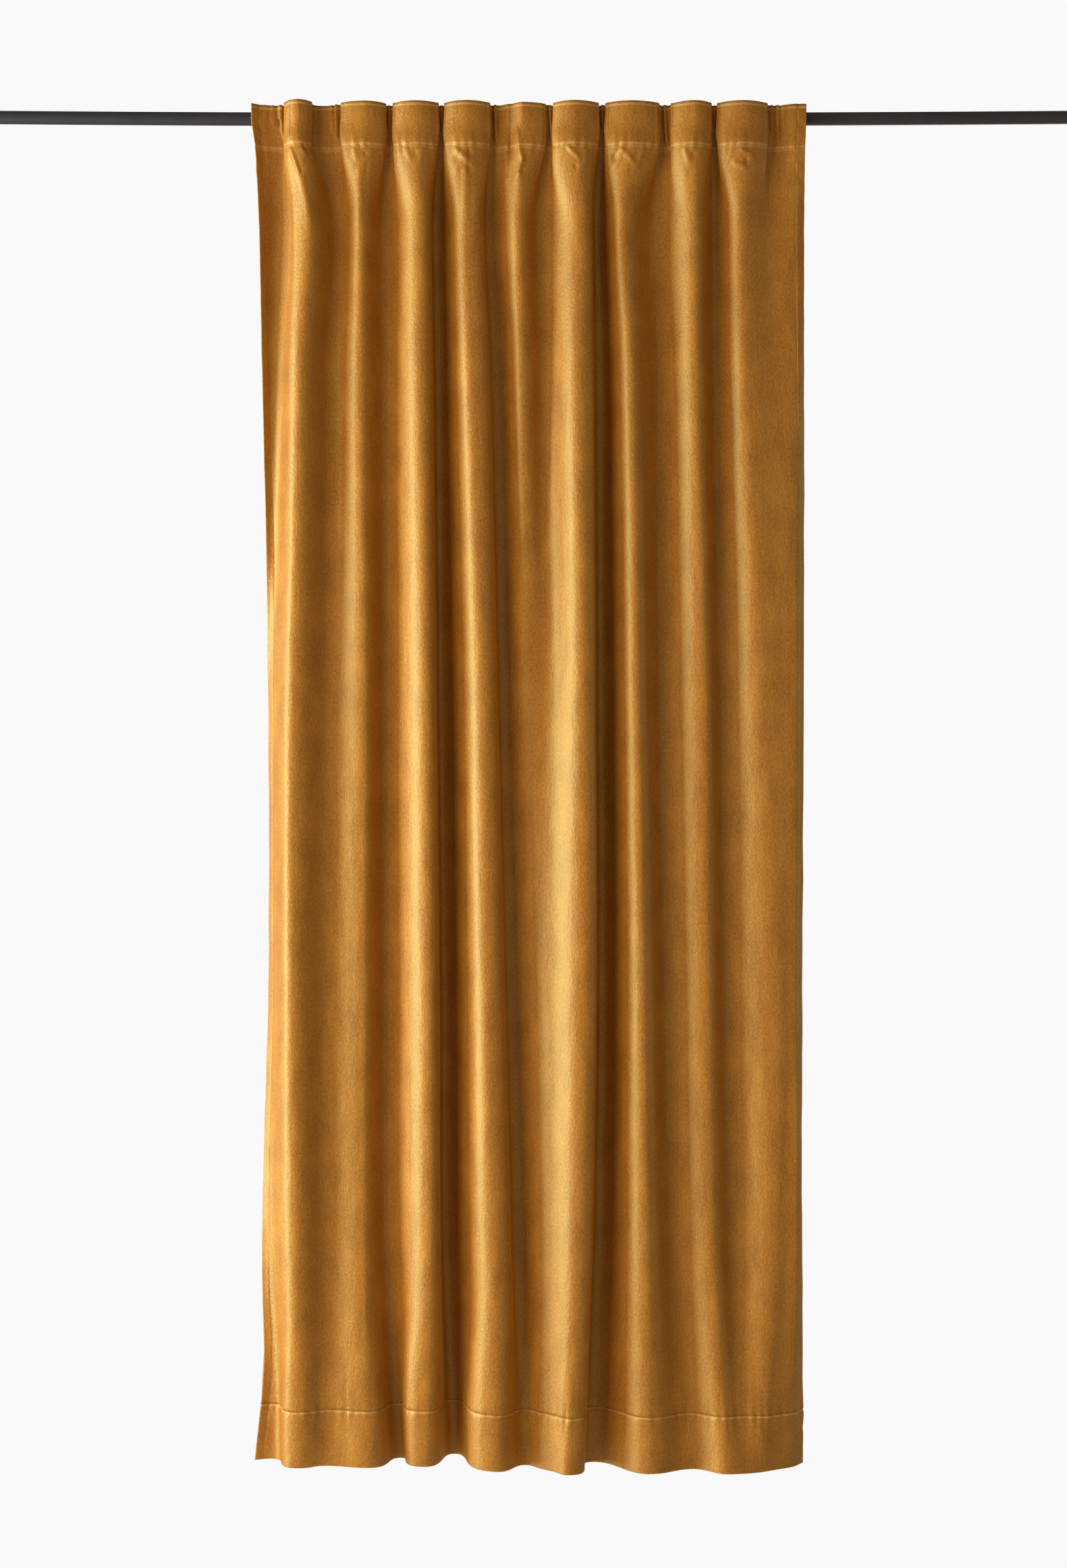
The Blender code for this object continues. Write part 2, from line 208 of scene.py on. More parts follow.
def wall(front: Array, back: Array, steps: Array) -> list[list[int]]:
    """Joins two edges of a closed sheet, where the front edge may have points between the back's.

    Args:
        front: the point numbers along the front edge.
        back: the point numbers along the back edge, in the same direction.
        steps: where along the front edge the back's points lie.

    Returns:
        A face for each step of the back edge: its points in front, then its two points behind.
    """
    faces = []
    starts, gaps = steps[:-1], np.diff(steps)
    for gap in np.unique(gaps):
        chosen = np.flatnonzero(gaps == gap)
        ahead = front[starts[chosen][:, None] + np.arange(gap + 1)]
        faces += np.column_stack([ahead, back[chosen + 1], back[chosen]]).tolist()
    return faces


def solid_from_sheet(middle: Array, half: Array) -> tuple[Array, Array]:
    """Thickens a grid of points: its face half a thickness out along the normals, its back behind.

    Args:
        middle: the middle surface, rows by columns by 3.
        half: half of the thickness at each point.

    Returns:
        The points and the quads of the closed solid.
    """
    out = face_normals(middle) * half[..., None]
    points = np.concatenate([(middle + out).reshape(-1, 3), (middle - out).reshape(-1, 3)])
    at = numbered(*half.shape, 0)
    rim = np.concatenate([at[0, :-1], at[:-1, -1], at[-1, :0:-1], at[:0:-1, 0]])
    after = np.roll(rim, -1)
    walls = np.stack([rim, after, after + at.size, rim + at.size], axis=-1)
    return points, np.concatenate([grid_quads(at, False), grid_quads(at + at.size, True), walls])


def edge_rounding(distance: Array, radius: float, least: float) -> Array:
    """How full a sheet is near its edge: the height of a quarter circle, and never under least.

    Args:
        distance: how far each point is from the edge.
        radius: how far in the rounding reaches.
        least: the share of the thickness that is left at the edge itself.

    Returns:
        A share of the full thickness at each point.
    """
    inward = np.clip(distance / radius, 0.0, 1.0)
    return np.maximum(np.sqrt(1 - (1 - inward) ** 2), least)


def read_rows(at: Array, places: Array, values: Array) -> Array:
    """Reads each row's own curve at its own places, by one interpolation over all rows laid in line.

    Args:
        at: where to read, a row of places for each row.
        places: where the values are, growing along each row.
        values: the values there.

    Returns:
        The values at the places of at.
    """
    shift = np.arange(len(places))[:, None] * (places.max() + 1.0)
    read = np.interp((at + shift).ravel(), (places + shift).ravel(), values.ravel())
    return read.reshape(at.shape)


def from_edge(s: Array) -> Array:
    """How far each point of each row is from the nearer side edge."""
    return np.minimum(s, s[:, -1:] - s)


def along(x: Array, y: Array) -> Array:
    """The length of each row's curve from its left end, at every point."""
    steps = np.hypot(np.diff(x, axis=1), np.diff(y, axis=1))
    return np.hstack([np.zeros((len(x), 1)), np.cumsum(steps, axis=1)])


@dataclass(frozen=True)
class SeamMarkOrShade:
    """A line across the cloth: pile that sewing has worn pale, or a dark line of painted shade.

    down is its distance below the top edge, and share is how far its colour covers the pile's. A line that is
    not worn is painted shade, in the pile's shaded colour.
    """

    down: float
    worn: bool
    share: float


@dataclass(frozen=True)
class VelvetFace:
    """The face of cotton velvet: a short dense cut pile, dyed in the piece to an old gold.

    The pile swallows light that meets it end on and shines at its sides, so a fold is deep brown
    in its valley and pale gold where the light grazes it. It is never quite evenly brushed. The
    shader's gloss is the shine of the pile's sides, and its sheen the pale edge of the folds.
    """

    name: str = "cotton_velvet_face"
    shaded_pile: str = "#8C4B13"
    brushed_pile: str = "#C8842A"
    worn_pile: str = "#E8B45E"
    lint: str = "#E9CF9B"
    roughness: float = 0.49
    sheen: float = 0.75
    sheen_roughness: float = 0.33
    sheen_tint: str = "#EDB850"
    gloss: float = 1.0
    pile_ior: float = 1.64  # a little over cotton's 1.55, matched to the folds' highlights
    gloss_tint: str = "#EEFFAE"
    blotch: tuple[float, float] = (40 * MM, 75 * MM)  # the patches' width and height
    streak: tuple[float, float] = (2.4 * MM, 70 * MM)
    grain: tuple[float, float] = (3.8 * MM, 4.94 * MM)  # real tufts are 0.3 mm, coarser so that they show
    nap: tuple[float, float] = (18 * MM, 60 * MM)
    layer_shares: tuple[float, float, float] = (0.8, 0.12, 1.2)  # of blotches, streaks and grain
    shade_range: tuple[float, float] = (0.46, 1.66)  # the sums at which the pile is all shaded, all brushed
    lint_spacing: float = 42 * MM
    lint_size: float = 0.8 * MM
    lint_share: float = 0.55
    mark_half: float = 2.6 * MM
    mark_core: float = 0.4  # the share of its half width over which a mark, worn pale or painted shade, is full
    nap_lean: float = 1.0 * MM
    relief: float = 0.5 * MM

    def material(self, marks: list[SeamMarkOrShade]) -> bpy.types.Material:
        """Builds the node tree.

        The colour is a mix of two shades of pile. What mixes them is a weighted sum of three
        noises: patches where hands and folding have brushed the pile, fine upright streaks, and
        the grain of the tufts. Specks of lint lie over it, with pale lines where seams have worn the
        pile and dark lines of painted shade over the hem's turned edge and under the top edge.
        The slow lean of the nap and the grain bend the light.

        Args:
            marks: the pale marks that the seams leave, and the lines of painted shade.

        Returns:
            The material.
        """
        material, tree = start_material(self.name)
        cloth = add_node(tree, "ShaderNodeUVMap", {"uv_map": "cloth"}).outputs["UV"]
        blotches = self.noise(tree, cloth, self.blotch, 3.0)
        streaks = self.noise(tree, cloth, self.streak, 2.0)
        grain = self.noise(tree, cloth, self.grain, 3.0)
        nap = self.noise(tree, cloth, self.nap, 3.0)
        so_far = {}
        for layer, share in zip((blotches, streaks, grain), self.layer_shares):
            shade = add_node(tree, "ShaderNodeMath", {"operation": "MULTIPLY_ADD", 1: share, 2: 0.0},
                             {0: layer, **so_far}).outputs[0]
            so_far = {2: shade}
        least, most = self.shade_range
        factor = add_node(tree, "ShaderNodeMapRange", {"From Min": least, "From Max": most},
                          {"Value": shade}).outputs["Result"]
        pile = add_node(tree, "ShaderNodeMix", {"data_type": "RGBA", MIX_A: linear_rgb(self.shaded_pile),
                                                MIX_B: linear_rgb(self.brushed_pile)},
                        {"Factor": factor}).outputs[MIX_COLOUR]
        spacing = 1 / self.lint_spacing
        specks = add_node(tree, "ShaderNodeTexVoronoi", {"voronoi_dimensions": "2D", "Scale": spacing},
                          {"Vector": cloth}).outputs["Distance"]
        lint = add_node(tree, "ShaderNodeMapRange",
                        {"From Min": self.lint_size * spacing, "From Max": self.lint_size * spacing * 0.5,
                         "To Max": self.lint_share}, {"Value": specks}).outputs["Result"]
        colour = add_node(tree, "ShaderNodeMix", {"data_type": "RGBA", MIX_B: linear_rgb(self.lint)},
                          {"Factor": lint, MIX_A: pile}).outputs[MIX_COLOUR]
        down = add_node(tree, "ShaderNodeSeparateXYZ", links={"Vector": cloth}).outputs["Y"]
        for mark in marks:
            colour = self.marked(tree, down, colour, mark)
        lean = add_node(tree, "ShaderNodeBump", {"Strength": 1.0, "Distance": self.nap_lean},
                        {"Height": nap}).outputs["Normal"]
        bump = add_node(tree, "ShaderNodeBump", {"Strength": 1.0, "Distance": self.relief},
                        {"Height": grain, "Normal": lean}).outputs["Normal"]
        shader = add_node(tree, "ShaderNodeBsdfPrincipled",
                          {"Roughness": self.roughness, "IOR": self.pile_ior,
                           "Specular IOR Level": self.gloss, "Specular Tint": linear_rgb(self.gloss_tint),
                           "Sheen Weight": self.sheen, "Sheen Roughness": self.sheen_roughness,
                           "Sheen Tint": linear_rgb(self.sheen_tint)},
                          {"Base Color": colour, "Normal": bump}).outputs["BSDF"]
        add_node(tree, "ShaderNodeOutputMaterial", links={"Surface": shader})
        return material

    def marked(self, tree: bpy.types.NodeTree, down: bpy.types.NodeSocket, colour: bpy.types.NodeSocket,
               mark: SeamMarkOrShade) -> bpy.types.NodeSocket:
        """Lays a mark over the colour: full at its core, and fading to its half width. A worn mark
        is pale pile, and any other is painted shade.

        Args:
            tree: the material's tree.
            down: the socket with the distance below the top edge.
            colour: the socket with the pile's colour.
            mark: the mark.

        Returns:
            The new colour's socket.
        """
        # A mark that is not worn is painted shade, in the pile's shaded colour.
        code = self.worn_pile if mark.worn else self.shaded_pile
        away = add_node(tree, "ShaderNodeMath", {"operation": "SUBTRACT", 1: mark.down}, {0: down}).outputs[0]
        away = add_node(tree, "ShaderNodeMath", {"operation": "ABSOLUTE"}, {0: away}).outputs[0]
        band = add_node(tree, "ShaderNodeMapRange",
                        {"From Min": self.mark_half, "From Max": self.mark_half * self.mark_core,
                         "To Max": mark.share}, {"Value": away}).outputs["Result"]
        return add_node(tree, "ShaderNodeMix", {"data_type": "RGBA", MIX_B: linear_rgb(code)},
                        {"Factor": band, MIX_A: colour}).outputs[MIX_COLOUR]

    def noise(self, tree: bpy.types.NodeTree, cloth: bpy.types.NodeSocket, patch: tuple[float, float],
              detail: float) -> bpy.types.NodeSocket:
        """Noise on the cloth whose patches have this size.

        Args:
            tree: the material's tree.
            cloth: the socket with the cloth coordinates.
            patch: a patch's width and height in metres.
            detail: how many finer layers it has.

        Returns:
            The noise's value socket.
        """
        placed = add_node(tree, "ShaderNodeMapping", {"Scale": (1 / patch[0], 1 / patch[1], 1.0)},
                          {"Vector": cloth}).outputs["Vector"]
        return add_node(tree, "ShaderNodeTexNoise",
                        {"noise_dimensions": "2D", "Scale": 1.0, "Detail": detail},
                        {"Vector": placed}).outputs[0]


@dataclass(frozen=True)
class Thread:
    """Spun polyester sewing thread, dyed a little paler than the cloth, so that a seam shows."""

    name: str = "sewing_thread"
    colour: str = "#D8A75C"
    roughness: float = 0.6
    ply_spacing: float = 0.4 * MM
    ply_relief: float = 0.1 * MM

    def material(self) -> bpy.types.Material:
        """A plain matt thread whose plies show as fine slanted ridges.

        Returns:
            The material.
        """
        material, tree = start_material(self.name)
        place = add_node(tree, "ShaderNodeTexCoord").outputs["Object"]
        scale = WAVE_SLANTED / math.sqrt(3) / self.ply_spacing
        plies = add_node(tree, "ShaderNodeTexWave", {"Scale": scale, "bands_direction": "DIAGONAL"},
                         {"Vector": place}).outputs["Fac"]
        bump = add_node(tree, "ShaderNodeBump", {"Strength": 0.4, "Distance": self.ply_relief},
                        {"Height": plies}).outputs["Normal"]
        shader = add_node(tree, "ShaderNodeBsdfPrincipled",
                          {"Base Color": linear_rgb(self.colour), "Roughness": self.roughness,
                           "Sheen Weight": 0.1}, {"Normal": bump}).outputs["BSDF"]
        add_node(tree, "ShaderNodeOutputMaterial", links={"Surface": shader})
        return material


@dataclass(frozen=True)
class PaintedSteel:
    """Steel tube under a satin charcoal lacquer, sprayed and baked: smooth, with a soft sheen."""

    name: str = "satin_lacquered_steel"
    colour: str = "#4A4A4E"
    worn: str = "#5B5A5C"
    roughness: float = 0.42
    metallic: float = 0.75
    mottle: float = 30 * MM
    peel: float = 1.5 * MM
    peel_depth: float = 0.05 * MM

    def material(self) -> bpy.types.Material:
        """The lacquer: two close greys in a slow mottle, with a faint orange-peel relief.

        Returns:
            The material.
        """
        material, tree = start_material(self.name)
        place = add_node(tree, "ShaderNodeTexCoord").outputs["Object"]
        mottle = add_node(tree, "ShaderNodeTexNoise", {"Scale": 1 / self.mottle, "Detail": 4.0},
                          {"Vector": place}).outputs[0]
        peel = add_node(tree, "ShaderNodeTexNoise", {"Scale": 1 / self.peel}, {"Vector": place}).outputs[0]
        finish_two_tone(tree, (self.colour, self.worn), mottle, peel, (0.15, self.peel_depth),
                        {"Roughness": self.roughness, "Metallic": self.metallic})
        return material


@dataclass(frozen=True)
class WovenTape:
    """Twill-woven cotton tape, dyed to go with the cloth: fine slanted ribs and a dry surface."""

    name: str = "cotton_twill_tape"
    rib: str = "#A87B3C"
    furrow: str = "#7A5424"
    rib_spacing: float = 3.35 * MM  # the real ribs are 1.2 mm apart, drawn wider so that they show
    relief: float = 0.2 * MM

    def material(self) -> bpy.types.Material:
        """Slanted bands of two shades with a relief to match, on the tape's own coordinates.

        Returns:
            The material.
        """
        material, tree = start_material(self.name)
        cloth = add_node(tree, "ShaderNodeUVMap", {"uv_map": "cloth"}).outputs["UV"]
        scale = WAVE_SLANTED / math.sqrt(2) / self.rib_spacing
        ribs = add_node(tree, "ShaderNodeTexWave",
                        {"bands_direction": "DIAGONAL", "Scale": scale, "Distortion": 1.0},
                        {"Vector": cloth}).outputs["Fac"]
        finish_two_tone(tree, (self.furrow, self.rib), ribs, ribs, (0.6, self.relief),
                        {"Roughness": 0.9, "Sheen Weight": 0.2})
        return material


@dataclass(frozen=True)
class VelvetBack:
    """The back of the same velvet: its bare cotton ground weave, flatter and duller than the pile."""

    name: str = "cotton_velvet_back"
    yarn: str = "#A97F45"
    gap: str = "#7B5827"
    yarn_spacing: float = 2.76 * MM  # the real yarns are 0.4 mm apart, drawn wider so that they show
    relief: float = 0.2 * MM

    def material(self) -> bpy.types.Material:
        """Two crossed sets of yarn as the product of two waves, with their relief.

        Returns:
            The material.
        """
        material, tree = start_material(self.name)
        cloth = add_node(tree, "ShaderNodeUVMap", {"uv_map": "cloth"}).outputs["UV"]
        scale = WAVE_STRAIGHT / self.yarn_spacing
        warp, weft = (
            add_node(tree, "ShaderNodeTexWave", {"bands_direction": axis, "Scale": scale, "Distortion": 0.6},
                     {"Vector": cloth}).outputs["Fac"]
            for axis in "XY"
        )
        weave = add_node(tree, "ShaderNodeMath", {"operation": "MULTIPLY"}, {0: warp, 1: weft}).outputs[0]
        finish_two_tone(tree, (self.gap, self.yarn), weave, weave, (0.5, self.relief),
                        {"Roughness": 0.95, "Specular IOR Level": 0.2})
        return material


@dataclass(frozen=True)
class FoldLine:
    """An upright line of the drape: a crest, the valley beside it, or a side edge.

    across and forward hold its place at each of the drape's levels, in mm: to the right of the
    rod's middle, and in front of the rod's axis. at_head, at_body and at_hem say how full the
    cloth curves away from the line to its left and to its right: 1 is a plain wave, and two
    facing ends that add up to over 6 make a flank that overhangs.
    """

    name: str
    across: tuple[float, ...]
    forward: tuple[float, ...]
    at_head: tuple[float, float]
    at_body: tuple[float, float]
    at_hem: tuple[float, float]


# Heights at which the fold lines are given.
LEVELS = {
    "rod": -5 * MM,
    "seam": -58 * MM,
    "neck": -112 * MM,
    "upper": -465 * MM,
    "waist": -1026 * MM,
    "knee": -1588 * MM,
    "shin": -2150 * MM,
    "flare": -2300 * MM,
    "hem": -2480 * MM,
}

FOLD_LINES = (
    FoldLine("left_edge", (-518, -511, -508, -500, -493, -492, -503, -500, -516),
             (34, 33, 30, 16, -16, -18, -8, -8, -4), (1, 1), (1, 1), (1, 1)),
    FoldLine("valley_0", (-464, -464, -469, -482, -486, -487, -492, -487, -486),
             (15.5, 15.5, 8, 3, -10, -12, -5, -9, -10), (1.5, 2.0), (1.2, 1.4), (1.2, 2.0)),
    FoldLine("crest_1", (-430, -430, -419, -425, -438, -441, -432, -431, -428),
             (60, 56, 52, 46, 42, 44, 42, 43, 44), (4.2, 3.2), (1.5, 1.5), (2.8, 1.5)),
    FoldLine("valley_1", (-384, -384, -371, -367, -367, -373, -377, -378, -382),
             (15.5, 15.5, 4, 4, 11, 15, 18, 24, 30), (3.2, 3.0), (1.4, 1.2), (1.3, 1.2)),
    FoldLine("crest_2", (-309, -309, -312, -316, -310, -311, -310, -306, -302),
             (50, 48, 42, 32, 27, 26, 30, 37, 42), (3.6, 4.6), (1.3, 1.4), (1.2, 2.4)),
    FoldLine("valley_2", (-266, -266, -270, -271, -273, -272, -267, -260, -246),
             (15.5, 15.5, 0, -6, -10, -12, -12, -13, -15), (1.8, 1.8), (1.5, 1.0), (1.6, 1.4)),
    FoldLine("crest_3", (-216, -216, -211, -206, -194, -190, -189, -192, -198),
             (52, 50, 46, 44, 46, 44, 42, 40, 36), (4.2, 4.8), (1.4, 3.7), (3.4, 2.2)),
    FoldLine("valley_3", (-169, -170, -175, -173, -171, -165, -161, -155, -149),
             (15.5, 15.5, -4, -12, -18, -24, -30, -34, -38), (1.8, 1.8), (2.9, 1.2), (1.6, 1.5)),
    FoldLine("crest_4", (-122, -122, -123, -114, -93, -83, -71, -67, -67),
             (54, 52, 43, 44, 46, 48, 52, 54, 57), (4.6, 4.6), (1.4, 3.5), (2.8, 1.6)),
    FoldLine("valley_4", (-73, -74, -76, -62, -53, -37, -22, -18, -13),
             (15.5, 15.5, 0, -2, -2, 0, 2, 6, 12), (1.8, 1.2), (2.5, 1.3), (1.4, 1.2)),
    FoldLine("crest_5", (-20, -20, -24, -20, -6, 6, 10, 11, 14),
             (42, 40, 36, 30, 18, 19, 21, 25, 30), (1.2, 4.6), (1.2, 1.6), (1.0, 1.0)),
    FoldLine("valley_5", (29, 28, 20, 20, 26, 31, 31, 31, 35),
             (15.5, 15.5, 4, 6, 20, 31, 33, 37, 43), (1.8, 1.8), (1.4, 1.2), (1.0, 1.0)),
    FoldLine("crest_6", (76, 75, 83, 84, 93, 95, 81, 74, 62),
             (54, 52, 48, 52, 58, 60, 62, 63, 64), (4.4, 4.8), (1.4, 3.7), (1.3, 3.6)),
    FoldLine("valley_6", (124, 124, 121, 127, 127, 129, 121, 116, 112),
             (15.5, 15.5, -4, -10, -12, -13, -12, -11, -10), (1.8, 1.8), (2.9, 1.1), (2.8, 1.3)),
    FoldLine("crest_7", (180, 178, 170, 180, 190, 200, 208, 211, 210),
             (52, 50, 42, 44, 48, 52, 54, 56, 58), (4.6, 4.8), (1.4, 1.2), (1.3, 1.3)),
    FoldLine("valley_7", (237, 237, 234, 236, 237, 247, 266, 280, 294),
             (15.5, 15.5, 2, 1, 6, 12, 17, 23, 30), (1.8, 1.8), (1.2, 1.0), (1.2, 1.2)),
    FoldLine("crest_8", (296, 293, 296, 300, 314, 320, 332, 341, 354),
             (53, 51, 45, 41, 38, 39, 43, 49, 59), (3.4, 4.6), (1.2, 1.4), (1.2, 1.2)),
    FoldLine("valley_8", (331, 331, 333, 337, 348, 358, 370, 378, 384),
             (15.5, 15.5, 2, 2, 8, 14, 22, 36, 56), (1.8, 1.8), (1.3, 1.0), (1.2, 1.0)),
    FoldLine("crest_9", (384, 384, 383, 390, 423, 446, 437, 426, 411),
             (53, 51, 42, 36, 35, 37, 39, 44, 49), (4.6, 3.8), (1.3, 1.3), (1.0, 1.0)),
    FoldLine("valley_9", (443, 443, 443, 448, 460, 468, 462, 455, 446),
             (15.5, 15.5, 15.5, 28, 33, 35, 35, 36, 33), (1.8, 1.8), (1.0, 1.0), (1.0, 1.0)),
    FoldLine("crest_10", (482, 481, 482, 484, 484, 483, 483, 481, 479),
             (30, 28, 22, 26, 31, 33, 33, 30, 16), (2.2, 1.2), (1, 1), (1, 1)),
    FoldLine("right_edge", (501, 499, 499, 498, 498, 495, 495, 497, 499),
             (29, 27, 19, 17, 12, 12, 10, 4, -8), (1, 1), (1, 1), (1, 1)),
)


@dataclass(frozen=True)
class Drape:
    """How the cloth hangs: its section at any height, as one smooth curve through the fold lines."""

    cut_width: float = 1.40
    held_forward: float = 15.5 * MM  # where a tab holds the cloth, in front of the rod's axis
    puff: float = 0.10  # how much fuller the bulges are half way up the heading
    puff_z: float = -29 * MM
    puff_height: float = 22 * MM
    head_round: float = 1.1  # how far a bulge is rounded off beside its crest, against its depth
    head_shape_ends_z: float = -190 * MM
    hem_shape_starts_z: float = -2400 * MM
    fine_steps: int = 48
    scale_range: tuple[float, float] = (0.2, 3.0)  # what the folds' depths may be multiplied by
    halvings: int = 26

    def down_the_drop(self, values: list, z: Array) -> Array:
        """Reads values given at the levels at any height, by cubic curves with shared slopes.

        Args:
            values: a row of values at the levels, for each fold line.
            z: the heights.

        Returns:
            A row for each fold line and a column for each height.
        """
        at = -np.array(list(LEVELS.values()))
        values = np.asarray(values, float)
        slope = np.gradient(values, at, axis=-1)
        slope[..., 0] = 0.0
        down = np.clip(-z, at[0], at[-1])
        span = np.clip(np.searchsorted(at, down, side="right") - 1, 0, len(at) - 2)
        width = at[span + 1] - at[span]
        t = (down - at[span]) / width
        a, b = values[..., span], values[..., span + 1]
        slope_a, slope_b = slope[..., span] * width, slope[..., span + 1] * width
        return (a * (1 + 2 * t) * (1 - t) ** 2 + b * t * t * (3 - 2 * t)
                + slope_a * t * (1 - t) ** 2 - slope_b * t * t * (1 - t))

    def fullness(self, z: Array) -> tuple[Array, Array]:
        """How full each line's curve is, mixed from head, body and hem by height.

        Args:
            z: the heights.

        Returns:
            The fullness to the left of each line and to its right, by line and height.
        """
        head, body, hem = (
            np.array([getattr(line, stage) for line in FOLD_LINES])[:, :, None]
            for stage in ("at_head", "at_body", "at_hem")
        )
        puff = 1 + self.puff * bell(z - self.puff_z, self.puff_height)
        hem_span = LEVELS["shin"] - self.hem_shape_starts_z
        in_hem = smoothstep((LEVELS["shin"] - z) / hem_span)
        mixed = body + (head * puff - body) * self.in_heading(z) + (hem - body) * in_hem
        return mixed[:, 0], mixed[:, 1]

    def in_heading(self, z: Array) -> Array:
        """1 in the heading, 0 where the heading's shape has ended, and an even curve between."""
        return smoothstep((z - self.head_shape_ends_z) / (LEVELS["seam"] - self.head_shape_ends_z))

    def slopes(self, across: Array, forward: Array) -> Array:
        """How steeply the section passes each line, as forward over across.

        It is level at a crest and in a valley. Where the folds only step down, it is the harmonic
        mean of the two steps' slopes, and at the side edges it is the one step's slope.

        Args:
            across: each line's place across, by line and height.
            forward: its place forward.

        Returns:
            The slopes, by line and height.
        """
        step = np.diff(forward, axis=0) / np.diff(across, axis=0)
        before, after = step[:-1], step[1:]
        goes_on = before * after > 0
        between = 2 * before * after / np.where(goes_on, before + after, 1.0)
        return np.vstack([step[:1], np.where(goes_on, between, 0.0), step[-1:]])

    def section(self, z: Array, depth_scale: Array) -> tuple[Array, Array]:
        """The cross-sections at these heights: a cubic curve from each fold line to the next.

        In the heading a bulge is rounded off beside its crest: by its depth times u to the power
        1.5 times 1 - u, where u goes from 0 at the crest to 1 half way to the valley.

        Args:
            z: the heights.
            depth_scale: how deep the folds are at each height, against the table.

        Returns:
            x and y arrays, a row for each height.
        """
        across = MM * self.down_the_drop([line.across for line in FOLD_LINES], z)
        forward = MM * self.down_the_drop([line.forward for line in FOLD_LINES], z)
        forward = self.held_forward + depth_scale * (forward - self.held_forward)
        slope = self.slopes(across, forward)
        left_full, right_full = self.fullness(z)
        width, height = np.diff(across, axis=0), np.diff(forward, axis=0)
        leaves, arrives = right_full[:-1] * width, left_full[1:] * width
        t = (np.arange(self.fine_steps) / self.fine_steps)[:, None, None]
        ease, leave, arrive = t * t * (3 - 2 * t), t * (1 - t) ** 2, -t * t * (1 - t)
        x = across[:-1] + width * ease + leaves * leave + arrives * arrive
        y = forward[:-1] + height * ease + leaves * slope[:-1] * leave + arrives * slope[1:] * arrive
        from_crest = np.clip(2 * np.where(height < 0, t, 1 - t), 0, 1)
        y -= np.abs(height) * self.head_round * from_crest ** 1.5 * (1 - from_crest) * self.in_heading(z)
        x = np.moveaxis(x, 0, 1).reshape(-1, len(z))
        y = np.moveaxis(y, 0, 1).reshape(-1, len(z))
        return np.vstack([x, across[-1]]).T, -np.vstack([y, forward[-1]]).T

    def hung(self, z: Array) -> tuple[Array, Array]:
        """The cross-sections whose folds are as deep as the cloth's one cut width makes them.

        The depth is found by halving its range until the section's length is the cut width.

        Args:
            z: the heights.

        Returns:
            x and y arrays, a row for each height.
        """
        low, high = (np.full(len(z), limit) for limit in self.scale_range)
        for _ in range(self.halvings):
            middle = (low + high) / 2
            longer = along(*self.section(z, middle))[:, -1] > self.cut_width
            high = np.where(longer, middle, high)
            low = np.where(longer, low, middle)
        return self.section(z, (low + high) / 2)


@dataclass(frozen=True)
class Crease:
    """A soft ridge or trough pressed into the cloth beside a fold line.

    path runs down it as pairs of mm: right of the line along the cloth, and height. width is the
    ridge's half width and lift its height, in mm; a trough's lift is under 0. fades says over how
    many mm it rises at its top, where 0 is at once, and dies out at its foot.
    """

    beside: str
    path: tuple[tuple[float, float], ...]
    width: float
    lift: float
    fades: tuple[float, float]

    def relief(self, beside: Array, z: Array) -> Array:
        """Its height at points of the cloth: the lift times exp of minus (distance / width) squared.

        Args:
            beside: how far right of the fold line each point is, in mm.
            z: each point's height, in mm.

        Returns:
            The height in mm at each point.
        """
        near = np.full(beside.shape, np.inf)
        place = np.zeros(beside.shape)
        passed = 0.0
        for (s0, z0), (s1, z1) in zip(self.path[:-1], self.path[1:]):
            length = math.hypot(s1 - s0, z1 - z0)
            t = ((beside - s0) * (s1 - s0) + (z - z0) * (z1 - z0)) / length ** 2
            t = np.clip(t, 0.0, 1.0)
            distance = np.hypot(beside - s0 - t * (s1 - s0), z - z0 - t * (z1 - z0))
            place = np.where(distance < near, passed + t * length, place)
            near = np.minimum(near, distance)
            passed += length
        top, foot = self.fades
        rise = smoothstep(place / top) if top else 1.0
        return self.lift * bell(near, self.width) * rise * smoothstep((passed - place) / foot)


# How many of its half widths away a crease has died out.
CREASE_REACH = 3


def creases(table: dict[str, list[tuple]]) -> tuple[Crease, ...]:
    """The creases of a table that gives, for each fold line, rows of path, width, lift and fades."""
    return tuple(Crease(line, *row) for line, rows in table.items() for row in rows)


